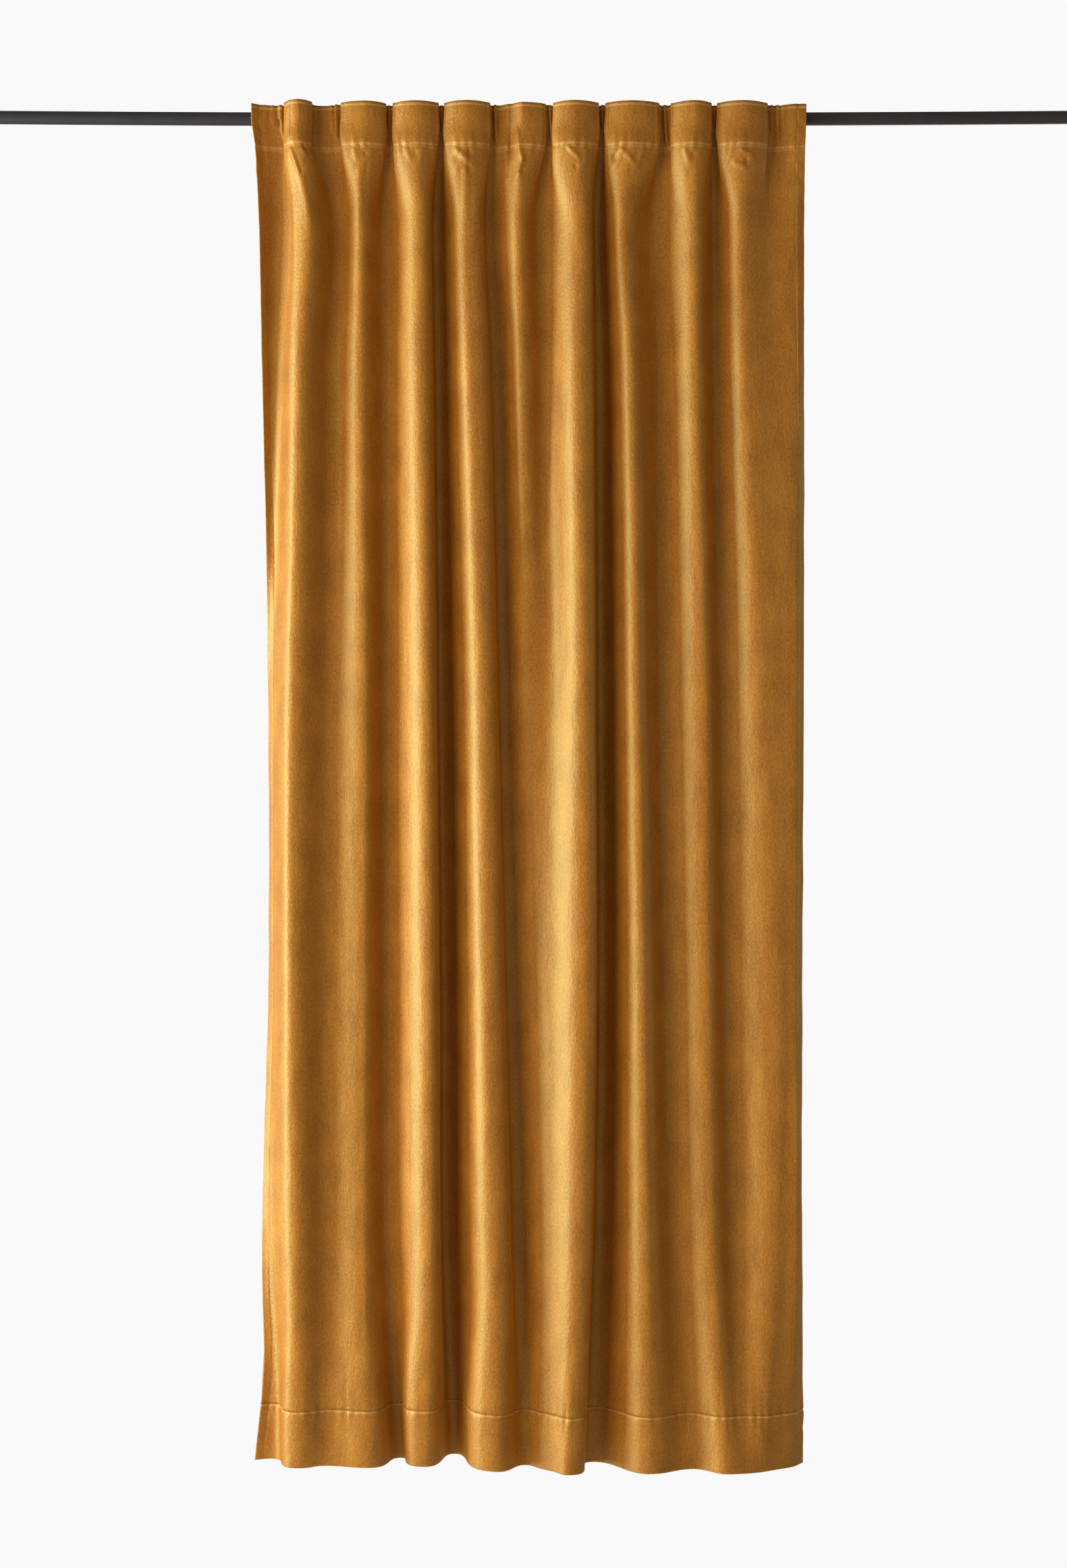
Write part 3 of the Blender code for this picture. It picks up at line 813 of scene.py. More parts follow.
# The small gathers of cloth that stand in the heading's valleys, over each back tab.
KNOTS = creases({
    "valley_0": [
        (((-2, 30), (-1, 0), (4, -28), (8, -46)), 2.8, 8.5, (0, 16)),
        (((-16, 30), (-15, -6), (-12, -24)), 3.2, 2.6, (0, 12)),
    ],
    "valley_1": [
        (((13, 30), (13, 0), (15, -34)), 2.4, 4.2, (0, 20)),
        (((23, 30), (22, 0), (24, -36), (24, -48)), 2.8, 9.0, (0, 14)),
    ],
    "valley_2": [(((0, 30), (0, 0), (1, -30)), 2.2, 4.0, (0, 18))],
    "valley_3": [(((0, 30), (0, 0), (1, -30)), 2.2, 4.0, (0, 18))],
    "valley_4": [
        (((3, 30), (3, 0), (5, -34), (6, -50)), 2.8, 8.0, (0, 14)),
        (((-7, 30), (-6, 0), (-4, -30)), 2.0, 3.5, (0, 14)),
    ],
    "valley_5": [
        (((-7, 30), (-6, 0), (-5, -30)), 2.0, 5.0, (0, 14)),
        (((1, 30), (2, 0), (6, -34), (8, -56)), 2.4, 7.0, (0, 14)),
    ],
    "valley_6": [(((3, 30), (3, 0), (5, -26)), 2.6, 7.0, (0, 16))],
    "valley_7": [
        (((-5, 30), (-5, 0), (-2, -30)), 2.0, 5.0, (0, 16)),
        (((4, 30), (5, 0), (7, -30), (11, -58)), 2.4, 7.0, (0, 14)),
    ],
    "valley_8": [(((2, 30), (2, 0), (3, -24)), 2.0, 3.5, (0, 16))],
    "valley_9": [
        (((-5, 30), (-5, 0), (-4, -36)), 2.4, 6.5, (0, 16)),
        (((7, 30), (7, 0), (8, -40), (9, -60)), 2.4, 6.0, (0, 20)),
    ],
})

# The rims of the heading's bulges, where the doubled cloth is bent hard and its pile stands open.
RIM_WIDTH = 1.7
RIM_FADES = (0, 8)
RIMS = tuple(
    Crease(f"crest_{number}", ((offset, 30), (offset, -52)), RIM_WIDTH, lift, RIM_FADES)
    for number, offset, lift in (
        (1, -17, 1.12), (1, 28, 1.76), (2, -44, 1.12), (2, 45, 1.6), (3, -46, 1.28), (3, 43, 1.6),
        (4, -45, 1.12), (4, 43, 1.44), (5, 36, 1.12), (6, -43, 1.28), (6, 46, 1.44), (7, -46, 1.28),
        (7, 48, 1.44), (8, -48, 1.28), (8, 32, 1.44), (9, -50, 1.28), (9, 46, 1.44),
    )
)

# Puckers where the heading is sewn down, with the ridges and dents that run on below them.
PUCKERS = creases({
    "crest_1": [
        (((-16, -62), (-10, -105), (-3, -152), (2, -191), (4, -245)), 4.0, 3.4, (8, 60)),
        (((-32, -130), (-30, -200), (-26, -320)), 6.0, 2.6, (40, 80)),
        (((5, -66), (12, -86)), 4.0, 2.2, (6, 8)),
        (((10, -58), (14, -78)), 3.2, -2.4, (4, 8)),
    ],
    "crest_2": [
        (((-22, -62), (-12, -92)), 4.2, 1.3, (6, 14)),
        (((2, -66), (2, -84)), 4.5, -2.2, (6, 8)),
        (((6, -84), (5, -150), (2, -230)), 4.0, -1.0, (10, 50)),
        (((-8, -96), (-6, -160), (-5, -240)), 5.0, 1.2, (10, 60)),
    ],
    "crest_3": [
        (((-20, -62), (-8, -96)), 4.5, 1.2, (6, 16)),
        (((14, -62), (4, -100)), 4.5, 1.2, (6, 20)),
        (((-2, -66), (-2, -90)), 5.5, -1.4, (8, 16)),
    ],
    "crest_4": [
        (((-24, -64), (-8, -78), (5, -91)), 4.4, 2.6, (6, 8)),
        (((-20, -78), (-17, -94)), 5.6, -2.0, (6, 8)),
        (((6, -66), (6, -82)), 5.0, -2.0, (5, 6)),
        (((6, -94), (6, -112)), 5.2, -1.8, (6, 8)),
        (((-2, -96), (-2, -150), (0, -220)), 5.0, 1.8, (10, 60)),
    ],
    "crest_5": [
        (((-10, -20), (-7, -60), (2, -85), (-4, -104), (0, -160)), 3.4, 3.2, (20, 60)),
        (((-30, -10), (-24, -90)), 8.0, -3.6, (20, 30)),
    ],
    "crest_6": [
        (((-16, -60), (9, -89)), 3.8, 2.4, (6, 8)),
        (((-4, -92), (-4, -108)), 4.2, -2.2, (6, 8)),
        (((22, -64), (10, -110)), 4.5, 1.4, (8, 30)),
    ],
    "crest_7": [
        (((-30, -70), (-26, -94)), 6.0, -3.0, (8, 12)),
        (((-20, -64), (0, -82), (18, -100)), 4.4, 2.4, (6, 14)),
        (((28, -62), (12, -110)), 4.5, 1.6, (8, 24)),
    ],
    "crest_8": [
        (((-18, -62), (-8, -100)), 5.0, 1.6, (6, 20)),
        (((-4, -66), (2, -96)), 5.0, -1.8, (8, 20)),
    ],
    "crest_9": [
        (((-8, -68), (22, -83)), 3.8, 2.6, (6, 8)),
        (((0, -86), (12, -94)), 4.6, -2.6, (5, 6)),
        (((-22, -88), (14, -107)), 4.0, 2.2, (6, 14)),
    ],
})

# Rub marks in the pile of the heading: small raised arcs and dots.
RUBS = creases({
    "crest_2": [
        (((12, 4), (18, -2), (16, -8)), 1.3, 0.6, (3, 3)),
        (((26, -4), (30, -8)), 1.2, 0.5, (2, 2)),
    ],
    "crest_3": [
        (((-36, 8), (-30, 2), (-32, -6)), 1.3, 0.8, (3, 3)),
        (((-26, -4), (-18, 0), (-12, -5)), 1.2, 0.7, (3, 3)),
    ],
    "crest_4": [
        (((-30, 6), (-22, 10)), 1.2, 0.6, (2, 2)),
        (((-28, -12), (-24, -22), (-28, -28)), 1.2, 0.7, (3, 3)),
    ],
    "crest_1": [(((2, 4), (4, -6)), 1.2, 0.5, (2, 2))],
})


@dataclass
class HungCloth:
    """The cloth's surfaces as grids, so that stitches can be laid on them.

    z and s are each row's height and each point's distance from the left edge along the cloth.
    face and back are the two surfaces, rows by columns by 3.
    """

    z: Array
    s: Array
    face: Array
    back: Array

    def across(self, z: float, s: Array, behind: bool) -> Array:
        """Points on a surface along one level line.

        Args:
            z: the line's height.
            s: distances from the left edge.
            behind: whether they lie on the back.

        Returns:
            The points, a row each.
        """
        surface = self.back if behind else self.face
        row = float(np.interp(-z, -self.z, np.arange(len(self.z))))
        upper = min(int(row), len(self.z) - 2)
        share = row - upper
        points = surface[upper] * (1 - share) + surface[upper + 1] * share
        places = self.s[upper] * (1 - share) + self.s[upper + 1] * share
        return np.stack([np.interp(s, places, points[:, k]) for k in range(3)], axis=1)

    def down(self, s: float, z: Array, behind: bool) -> Array:
        """Points on a surface along one upright thread.

        Args:
            s: the thread's distance from the left edge, or from the right edge if under 0.
            z: heights.
            behind: whether they lie on the back.

        Returns:
            The points, a row each.
        """
        surface = self.back if behind else self.face
        at = np.full((len(self.z), 1), s) if s > 0 else self.s[:, -1:] + s
        line = [read_rows(at, self.s, surface[..., k])[:, 0] for k in range(3)]
        return np.stack([np.interp(-z, -self.z, column) for column in line], axis=1)


@dataclass(frozen=True)
class SeamDraw:
    """How a seam across the cloth draws it in: its groove's depth, its puckers' height and reach."""

    groove: float
    pucker: float
    reach: float


@dataclass(frozen=True)
class Swells:
    """Slow unevenness of the hanging cloth: a sum of seeded waves, long down it and short across.

    across, down and weight are the ranges that each wave's length across, length down the cloth
    and share of the height are drawn from. in_head is the share of it all that the heading has.
    """

    seed: int = 11
    count: int = 28
    across: tuple[float, float] = (45 * MM, 150 * MM)
    down: tuple[float, float] = (250 * MM, 900 * MM)
    weight: tuple[float, float] = (0.1, 0.32)
    height: float = 0.15 * MM
    last_phase: float = 6.3
    in_head: float = 0.35
    head_blend: float = 60 * MM

    def relief(self, s: Array, z: Array, head_seam_z: float) -> Array:
        """How far it lifts each point of the cloth.

        Args:
            s: distances from the left edge.
            z: the rows' heights.
            head_seam_z: the height of the heading's seam.

        Returns:
            The heights in metres.
        """
        random = np.random.default_rng(self.seed)
        total = np.zeros(s.shape)
        for _ in range(self.count):
            across = 2 * math.pi / random.uniform(*self.across)
            down = 2 * math.pi / random.uniform(*self.down) * random.choice([-1, 1])
            weight = random.uniform(*self.weight)
            phase = random.uniform(0, self.last_phase)
            total += weight * np.sin(across * s + down * z[:, None] + phase)
        below_head = smoothstep((head_seam_z - z) / self.head_blend)[:, None]
        return self.height * total * (self.in_head + (1 - self.in_head) * below_head)


@dataclass
class Curtain:
    """The cloth: cut 1.40 m wide, 2.50 m long as hemmed, gathered on its tabs and hung."""

    drape: Drape = field(default_factory=Drape)
    face: VelvetFace = field(default_factory=VelvetFace)
    reverse: VelvetBack = field(default_factory=VelvetBack)
    top_z: float = 20.5 * MM
    head_seam_z: float = -60 * MM
    neck_z: float = -150 * MM
    hem_z: float = -2480 * MM
    hem_depth: float = 100 * MM
    side_hem: float = 16 * MM
    hem_sag: float = 6 * MM
    hem_sag_from: float = -0.15
    hem_sag_to: float = 0.05
    sag_starts_z: float = -1.6
    cloth_thick: float = 1.6 * MM
    head_thick: float = 2.6 * MM
    hem_thick: float = 2.8 * MM
    side_thick: float = 2.4 * MM
    turn_blend: float = 4 * MM  # over how much of its height the cloth thickens into a turning
    side_blend: float = 3 * MM
    top_stitch: float = 7 * MM
    seam_lines: tuple[float, ...] = (3 * MM, 0.0, -3 * MM)
    stitch_dent: float = 0.45 * MM
    stitch_half: float = 0.9 * MM
    head_draw: SeamDraw = SeamDraw(0.9 * MM, 0.5 * MM, 11 * MM)
    hem_draw: SeamDraw = SeamDraw(1.3 * MM, 0.9 * MM, 14 * MM)
    groove_half: float = 2.6 * MM
    pucker_waves: tuple[tuple[float, float, float], ...] = (  # each one's length, weight and start
        (17.0 * MM, 1.0, 0.0), (23.3 * MM, 0.8, 1.0), (13.1 * MM, 0.6, 2.0))
    hem_dent: float = 1.7 * MM  # the turned edge's line, just above the hem's stitches
    hem_dent_up: float = 2 * MM
    hem_dent_half: float = 1 * MM
    side_dent: float = 0.7 * MM
    side_dent_half: float = 1.3 * MM
    side_wave: float = 0.4 * MM  # the slanted waves that stitching draws into the side hems
    side_waves: tuple[tuple[float, float], ...] = ((31.0 * MM, 0.7), (47.0 * MM, -0.5))  # length, slant
    side_wave_blend: float = 2 * MM
    swells: Swells = field(default_factory=Swells)
    heading_rows: int = 23
    below_rows: int = 13
    neck_rows: int = 6
    body_rows: int = 61
    body_widening: float = 1.2  # over 1, the rows of the body grow further apart on the way down
    hem_rows: int = 8
    column_spacing: float = 5.1 * MM
    least_columns: int = 4
    heading_foot_z: float = -112 * MM  # how far down the face has finer columns
    heading_steps: int = 3  # how many of them to each wide one
    edge_steps: tuple[float, ...] = (0.4 * MM, 1.2 * MM, 2.6 * MM, 14.4 * MM, 15.6 * MM, 16.8 * MM, 18 * MM)
    rim_radius: float = 1.4 * MM
    rim_least: float = 0.25

    @property
    def hem_seam_z(self) -> float:
        """The height of the hem's stitches."""
        return self.hem_z + self.hem_depth

    def marks(self) -> list[SeamMarkOrShade]:
        """The marks in the pile: pale where the hem's, the heading's and the top edge's stitches wear
        it, and painted shade in a line above the hem's stitches, where the seam also presses the
        pile, and just under the top edge.

        Returns:
            The marks, in the order in which they lie over each other.
        """
        hem, head = self.top_z - self.hem_seam_z, self.top_z - self.head_seam_z
        return [
            SeamMarkOrShade(hem, worn=True, share=0.45),
            # painted shade in the groove of the hem's turned edge, over pile that the seam presses
            SeamMarkOrShade(hem - 4 * MM, worn=False, share=0.6),
            SeamMarkOrShade(head - 2.5 * MM, worn=True, share=0.25),
            SeamMarkOrShade(head + 3.5 * MM, worn=True, share=0.22),
            SeamMarkOrShade(self.top_stitch, worn=True, share=0.45),
            # painted shadow: a thin dark line just under the top edge
            SeamMarkOrShade(1 * MM, worn=False, share=0.7),
        ]

    def heights(self) -> Array:
        """Chooses the rows: close at the top edge, the seams and the bottom edge, wider between.

        Returns:
            The rows' heights from the top down.
        """
        at_head_seam = np.array([8.5, 6.5, 4.5, 3, 1.5, 0, -1.5, -3, -4.5, -6.5]) * MM
        at_hem_seam = np.array([9, 6, 4, 3, 2, 1, 0, -1.5, -3.5, -6]) * MM
        top = self.top_z - np.array([0, 0.5, 1.2, 2.4, 4.2, 5.8, 7, 8.2]) * MM
        heading = np.linspace(self.top_z - 10 * MM, self.head_seam_z + 11 * MM, self.heading_rows)
        below = np.linspace(self.head_seam_z - 9 * MM, self.heading_foot_z, self.below_rows)
        neck = np.linspace(self.heading_foot_z - 5 * MM, self.neck_z, self.neck_rows)
        fall = np.linspace(0, 1, self.body_rows + 1)[1:] ** self.body_widening
        body = self.neck_z + fall * (self.hem_seam_z + 14 * MM - self.neck_z)
        hem = np.linspace(self.hem_seam_z - 11 * MM, self.hem_z + 7 * MM, self.hem_rows)
        bottom = self.hem_z + np.array([4, 2, 0.9, 0.3, 0]) * MM
        return np.concatenate([top, heading, self.head_seam_z + at_head_seam, below, neck, body,
                               self.hem_seam_z + at_hem_seam, hem, bottom])

    def columns(self, line_s: Array, end: Array) -> Array:
        """The columns' distances from the left edge, even between fold lines and closer at the edges.

        Args:
            line_s: each row's distances of the fold lines.
            end: each row's full length, as a column.

        Returns:
            The distances, growing along each row.
        """
        counts = np.rint(np.diff(line_s, axis=1).mean(axis=0) / self.column_spacing)
        counts = np.maximum(self.least_columns, counts).astype(int)
        half = np.repeat(np.arange(len(counts)), counts)
        first = np.repeat(np.cumsum(counts) - counts, counts)
        share = (np.arange(counts.sum()) - first) / counts[half]
        places = line_s[:, half] + share * (line_s[:, half + 1] - line_s[:, half])
        near = np.array(self.edge_steps) + np.zeros_like(end)
        return np.sort(np.hstack([places, near, end - near, end]), axis=1)

    def finer(self, s: Array) -> Array:
        """The columns' distances with even steps added between every two of them."""
        steps = np.arange(self.heading_steps) / self.heading_steps
        between = s[:, :-1, None] + np.diff(s, axis=1)[..., None] * steps
        return np.hstack([between.reshape(len(s), -1), s[:, -1:]])

    def straightened(self, grid: Array, fine_rows: Array) -> Array:
        """Lays the finer columns straight between the wide ones, apart from those in fine rows.

        Args:
            grid: points, rows by finer columns by 3.
            fine_rows: whether each row keeps its finer columns as they are.

        Returns:
            The grid as the mesh has it.
        """
        wide = grid[:, ::self.heading_steps]
        steps = (np.arange(self.heading_steps) / self.heading_steps)[:, None]
        between = wide[:, :-1, None] + np.diff(wide, axis=1)[:, :, None] * steps
        straight = np.concatenate([between.reshape(len(grid), -1, 3), wide[:, -1:]], axis=1)
        return np.where(fine_rows[:, None, None], grid, straight)

    def relief(self, s: Array, z: Array, line_s: Array) -> Array:
        """How far each point stands out from the plain drape: creases, seams and slow unevenness.

        Args:
            s: distances from the left edge.
            z: the rows' heights.
            line_s: the fold lines' distances from the left edge, by row.

        Returns:
            The heights in metres.
        """
        height = np.zeros(s.shape)
        number = {line.name: i for i, line in enumerate(FOLD_LINES)}
        z_mm = np.repeat(z[:, None] / MM, s.shape[1], axis=1)
        for crease in KNOTS + RIMS + PUCKERS + RUBS:
            reach = CREASE_REACH * crease.width
            lowest, highest = crease.path[-1][1] - reach, crease.path[0][1] + reach
            rows = (z / MM > lowest) & (z / MM < highest)
            beside = (s[rows] - line_s[rows, number[crease.beside]][:, None]) / MM
            height[rows] += crease.relief(beside, z_mm[rows])
        return height * MM + self.seam_relief(s, z) + self.swells.relief(s, z, self.head_seam_z)

    def seam_relief(self, s: Array, z: Array) -> Array:
        """The relief of the sewing.

        A seam across the cloth has a groove, a bell of the distance from it, and puckers, a sum of
        waves that dies out away from it. Each line of stitches, the hem's turned edge and the
        stitches of the side hems have a narrower bell, and the side hems have slanted waves.

        Args:
            s: distances from the left edge.
            z: the rows' heights.

        Returns:
            The heights in metres.
        """
        total = np.zeros(s.shape)
        turn = 2 * math.pi
        puckers = sum(weight * np.sin(s * turn / length + start)
                      for length, weight, start in self.pucker_waves)
        for seam_z, draw in ((self.head_seam_z, self.head_draw), (self.hem_seam_z, self.hem_draw)):
            away = np.abs(z - seam_z)[:, None]
            total -= draw.groove * bell(away, self.groove_half)
            total += draw.pucker * puckers * np.exp(-away / draw.reach)
        for line_z in (self.top_z - self.top_stitch, *(self.head_seam_z + gap for gap in self.seam_lines)):
            total -= self.stitch_dent * bell(z - line_z, self.stitch_half)[:, None]
        turned_edge = self.hem_seam_z + self.hem_dent_up
        total -= self.hem_dent * bell(z - turned_edge, self.hem_dent_half)[:, None]
        edge = from_edge(s)
        total -= self.side_dent * bell(edge - self.side_hem, self.side_dent_half)
        blend = self.side_wave_blend
        in_hem = smoothstep((self.side_hem + blend - edge) / (2 * blend))
        waves = sum(np.sin((z[:, None] + slant * s) * turn / length) for length, slant in self.side_waves)
        return total + self.side_wave * waves * in_hem

    def thickness(self, s: Array, z: Array) -> Array:
        """The cloth's thickness: more in the heading, the hem and the side hems, rounded at the rim.

        Args:
            s: distances from the left edge.
            z: the rows' heights.

        Returns:
            The thickness at each point.
        """
        edge = from_edge(s)
        in_head = smoothstep((z - self.head_seam_z + self.turn_blend) / self.turn_blend)[:, None]
        in_hem = smoothstep((self.hem_seam_z + self.turn_blend - z) / self.turn_blend)[:, None]
        at_side = smoothstep((self.side_hem + self.side_blend - edge) / self.side_blend)
        thick = np.full(s.shape, self.cloth_thick)
        for turned, share in ((self.head_thick, in_head), (self.hem_thick, in_hem),
                              (self.side_thick, at_side)):
            thick = np.maximum(thick, self.cloth_thick + (turned - self.cloth_thick) * share)
        rim = np.minimum(edge, np.minimum(self.top_z - z, z - self.hem_z)[:, None])
        return thick * edge_rounding(rim, self.rim_radius, self.rim_least)

    def build(self) -> tuple[bpy.types.Object, HungCloth]:
        """Makes the cloth.

        Returns:
            The piece, and its surfaces for the stitching.
        """
        z = self.heights()
        fine_x, fine_y = self.drape.hung(z)
        fine_s = along(fine_x, fine_y)
        line_s = fine_s[:, ::self.drape.fine_steps]
        s = self.finer(self.columns(line_s, fine_s[:, -1:]))
        x, y = read_rows(s, fine_s, fine_x), read_rows(s, fine_s, fine_y)
        sag = self.hem_sag * smoothstep((x - self.hem_sag_from) / (self.hem_sag_to - self.hem_sag_from))
        sagged = smoothstep((self.sag_starts_z - z) / (self.sag_starts_z - self.hem_z))[:, None]
        plain = np.stack([x, y, z[:, None] - sag * sagged], axis=-1)
        middle = plain + face_normals(plain) * self.relief(s, z, line_s)[..., None]
        out = face_normals(middle) * self.thickness(s, z)[..., None] / 2
        fine_rows = z > self.heading_foot_z - 1 * MM
        face = self.straightened(middle + out, fine_rows)
        back = self.straightened(middle - out, np.zeros(len(z), bool))
        uv = np.stack([s, np.repeat(self.top_z - z[:, None], s.shape[1], axis=1)], axis=-1)
        points, uv, faces, kind = self.joined(face, back, uv, fine_rows, self.back_rows(z))
        finishes = [self.face.material(self.marks()), self.reverse.material()]
        cloth = make_mesh("velvet_curtain", points, faces, finishes, kind, uv)
        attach(cloth, BODY)
        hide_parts("curtain")
        LOG.info("velvet_curtain: %d rows, %d columns, %d faces", *s.shape, len(faces))
        return cloth, HungCloth(z, s, face, back)

    def back_rows(self, z: Array) -> Array:
        """The numbers of the rows that the back has: all of them at the hem, every second one above."""
        number = np.arange(len(z))
        return number[(number % 2 == 0) | (z < self.hem_seam_z + 12 * MM)]

    def joined(self, face: Array, back: Array, uv: Array, fine_rows: Array,
               back_rows: Array) -> tuple[Array, Array, list[list[int]], Array]:
        """Makes one closed skin of the two surfaces: fine in the heading's face, wider elsewhere.

        Args:
            face: the face's points, rows by finer columns by 3.
            back: the back's points.
            uv: the cloth coordinates of both.
            fine_rows: which rows of the face have the finer columns.
            back_rows: the numbers of the back's rows.

        Returns:
            The points, their cloth coordinates, the faces, and 1 for each face of the back.
        """
        step = self.heading_steps
        parts = [(face[fine_rows], uv[fine_rows]), (face[~fine_rows, ::step], uv[~fine_rows, ::step]),
                 (back[back_rows, ::step], uv[back_rows, ::step])]
        starts = np.cumsum([0] + [part[0].size // 3 for part in parts])
        head, fall, behind = (numbered(*part[0].shape[:2], start) for part, start in zip(parts, starts))
        joint = np.column_stack([head[-1, :-1:step], fall[0, :-1], fall[0, 1:],
                                 *(head[-1, k::step] for k in range(step, 0, -1))])
        front = [grid_quads(head, False), joint, grid_quads(fall, False)]
        across = np.arange(head.shape[1])[::step]
        left = np.concatenate([head[:, 0], fall[:, 0]])
        right = np.concatenate([head[:, -1], fall[:, -1]])
        up = len(left) - 1 - back_rows[::-1]
        rim = (wall(head[0], behind[0], across) + wall(right, behind[:, -1], back_rows)
               + wall(fall[-1, ::-1], behind[-1, ::-1], np.arange(fall.shape[1]))
               + wall(left[::-1], behind[::-1, 0], up))
        reverse = grid_quads(behind, True)
        faces = [face for group in front for face in group.tolist()] + rim + reverse.tolist()
        kind = np.zeros(len(faces), int)
        kind[-len(reverse):] = 1
        points = np.concatenate([part[0].reshape(-1, 3) for part in parts])
        return points, np.concatenate([part[1].reshape(-1, 2) for part in parts]), faces, kind


class Run(Enum):
    """Which way a line of stitches runs on the cloth."""

    ACROSS = "across"
    DOWN = "down"


@dataclass(frozen=True)
class Seam:
    """A line of stitches: its height, or its distance from a side edge, and where it starts and ends."""

    name: str
    run: Run
    at: float
    start: float
    end: float
    behind: bool = False


@dataclass
class Stitching:
    """Every line of sewing that shows, as real runs of thread lying on the cloth."""

    curtain: Curtain
    thread: Thread = field(default_factory=Thread)
    pitch: float = 4.0 * MM
    length: float = 3.3 * MM
    width: float = 0.9 * MM
    height: float = 0.65 * MM
    inset: float = 5 * MM  # how far from the side edges the heading's stitches start and end
    hem_inset: float = 3 * MM
    side_top: float = 8 * MM
    side_foot: float = 4 * MM

    def seams(self) -> list[Seam]:
        """The seams: three lines under the heading, its top edge, the hem and the two side hems.

        Returns:
            The seams in the order in which they are sewn.
        """
        cloth = self.curtain
        width = cloth.drape.cut_width
        heading = [(f"heading_stitches_{i}", cloth.head_seam_z + gap)
                   for i, gap in enumerate(cloth.seam_lines, 1)]
        heading.append(("top_edge_stitches", cloth.top_z - cloth.top_stitch))
        found = [Seam(name, Run.ACROSS, z, self.inset, width - self.inset) for name, z in heading]
        found += [Seam(name, Run.ACROSS, cloth.hem_seam_z, self.hem_inset, width - self.hem_inset, behind)
                  for name, behind in (("hem_stitches", False), ("hem_stitches_behind", True))]
        top, foot = cloth.top_z - self.side_top, cloth.hem_z + self.side_foot
        found += [Seam(f"{side}_side_stitches", Run.DOWN, place, top, foot)
                  for side, place in (("left", cloth.side_hem), ("right", -cloth.side_hem))]
        return found

    def runs(self, starts: Array, ends: Array, normals: Array) -> tuple[Array, Array]:
        """Short four-sided bars of thread that rise out of the cloth and dip back into it.

        A bar has rings at 0, 0.3, 0.7 and 1 of the way from its start to its end. The outer two
        lie under the surface, and the inner two above it.

        Args:
            starts: where each run comes out of the cloth.
            ends: where it goes back in.
            normals: the cloth's outward direction there.

        Returns:
            The points and the quads of all runs together.
        """
        share = np.array([0.0, 0.3, 0.7, 1.0])
        lift = np.array([-0.5, 0.35, 0.35, -0.5]) * self.height
        forward = ends - starts
        aside = np.cross(normals, forward)
        aside /= np.linalg.norm(aside, axis=1, keepdims=True)
        centre = starts[:, None] + share[:, None] * forward[:, None] + lift[:, None] * normals[:, None]
        ring_aside = np.array([0.5, 0.0, -0.5, 0.0])[:, None] * self.width
        ring_out = np.array([0.0, 0.5, 0.0, -0.5])[:, None] * self.height
        offset = ring_aside * aside[:, None] + ring_out * normals[:, None]
        points = centre[:, :, None] + offset[:, None]
        at = np.arange(points.size // 3).reshape(-1, 4, 4)
        beside = np.roll(at, -1, axis=2)
        sides = np.stack([at[:, :-1], beside[:, :-1], beside[:, 1:], at[:, 1:]], axis=-1).reshape(-1, 4)
        return points.reshape(-1, 3), np.concatenate([sides, at[:, 0, ::-1], at[:, 3]])

    def build(self, cloth: HungCloth) -> list[bpy.types.Object]:
        """Sews every seam.

        Args:
            cloth: the hung cloth's surfaces.

        Returns:
            A piece for each seam.
        """
        pieces = []
        material = self.thread.material()
        for seam in self.seams():
            sign = 1.0 if seam.end > seam.start else -1.0
            places = np.arange(seam.start, seam.end, self.pitch * sign)
            line = cloth.across if seam.run is Run.ACROSS else cloth.down
            starts = line(seam.at, places, seam.behind)
            ends = line(seam.at, places + self.length * sign, seam.behind)
            normals = starts - line(seam.at, places, not seam.behind)
            normals /= np.linalg.norm(normals, axis=1, keepdims=True)
            points, quads = self.runs(starts, ends, normals)
            piece = make_mesh(seam.name, points, quads, [material])
            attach(piece, BODY)
            LOG.info("%s: %d stitches", seam.name, len(places))
            pieces.append(piece)
        return pieces


@dataclass
class Rod:
    """The rod: a bowed round bar with flat, lightly chamfered ends, 2.0 m long and 24 mm thick."""

    finish: PaintedSteel = field(default_factory=PaintedSteel)
    radius: float = 12 * MM
    length: float = 2.0
    end_rise: float = 4 * MM
    chamfer: float = 1.0 * MM
    sides: int = 96
    spans: int = 64

    def rise(self, x: Array) -> Array:
        """How far the axis stands above its middle: the end rise times (2 x / length) squared."""
        return self.end_rise * (2 * x / self.length) ** 2

    def build(self) -> bpy.types.Object:
        """Makes the rod: rings of points round the bowed axis, with smaller rings at its ends.

        Returns:
            The rod.
        """
        half = self.length / 2
        inner = np.linspace(-half + self.chamfer, half - self.chamfer, self.spans + 1)
        x = np.concatenate([[-half], inner, [half]])
        radius = np.full(len(x), self.radius)
        radius[[0, -1]] -= self.chamfer
        turn = np.arange(self.sides) * 2 * math.pi / self.sides
        ring_y = radius[:, None] * np.cos(turn)
        ring_z = radius[:, None] * np.sin(turn) + self.rise(x)[:, None]
        points = np.stack([np.repeat(x[:, None], self.sides, axis=1), ring_y, ring_z], axis=-1)
        at = np.arange(len(x) * self.sides).reshape(len(x), self.sides)
        beside = np.roll(at, -1, axis=1)
        sides = np.stack([at[:-1], beside[:-1], beside[1:], at[1:]], axis=-1).reshape(-1, 4)
        faces = sides.tolist() + [at[0][::-1].tolist(), at[-1].tolist()]
        piece = make_mesh("curtain_rod", points.reshape(-1, 3), faces, [self.finish.material()],
                          sharp_from=30.0)
        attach(piece, BODY)
        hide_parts("rod")
        LOG.info("curtain_rod: %d faces", len(faces))
        return piece


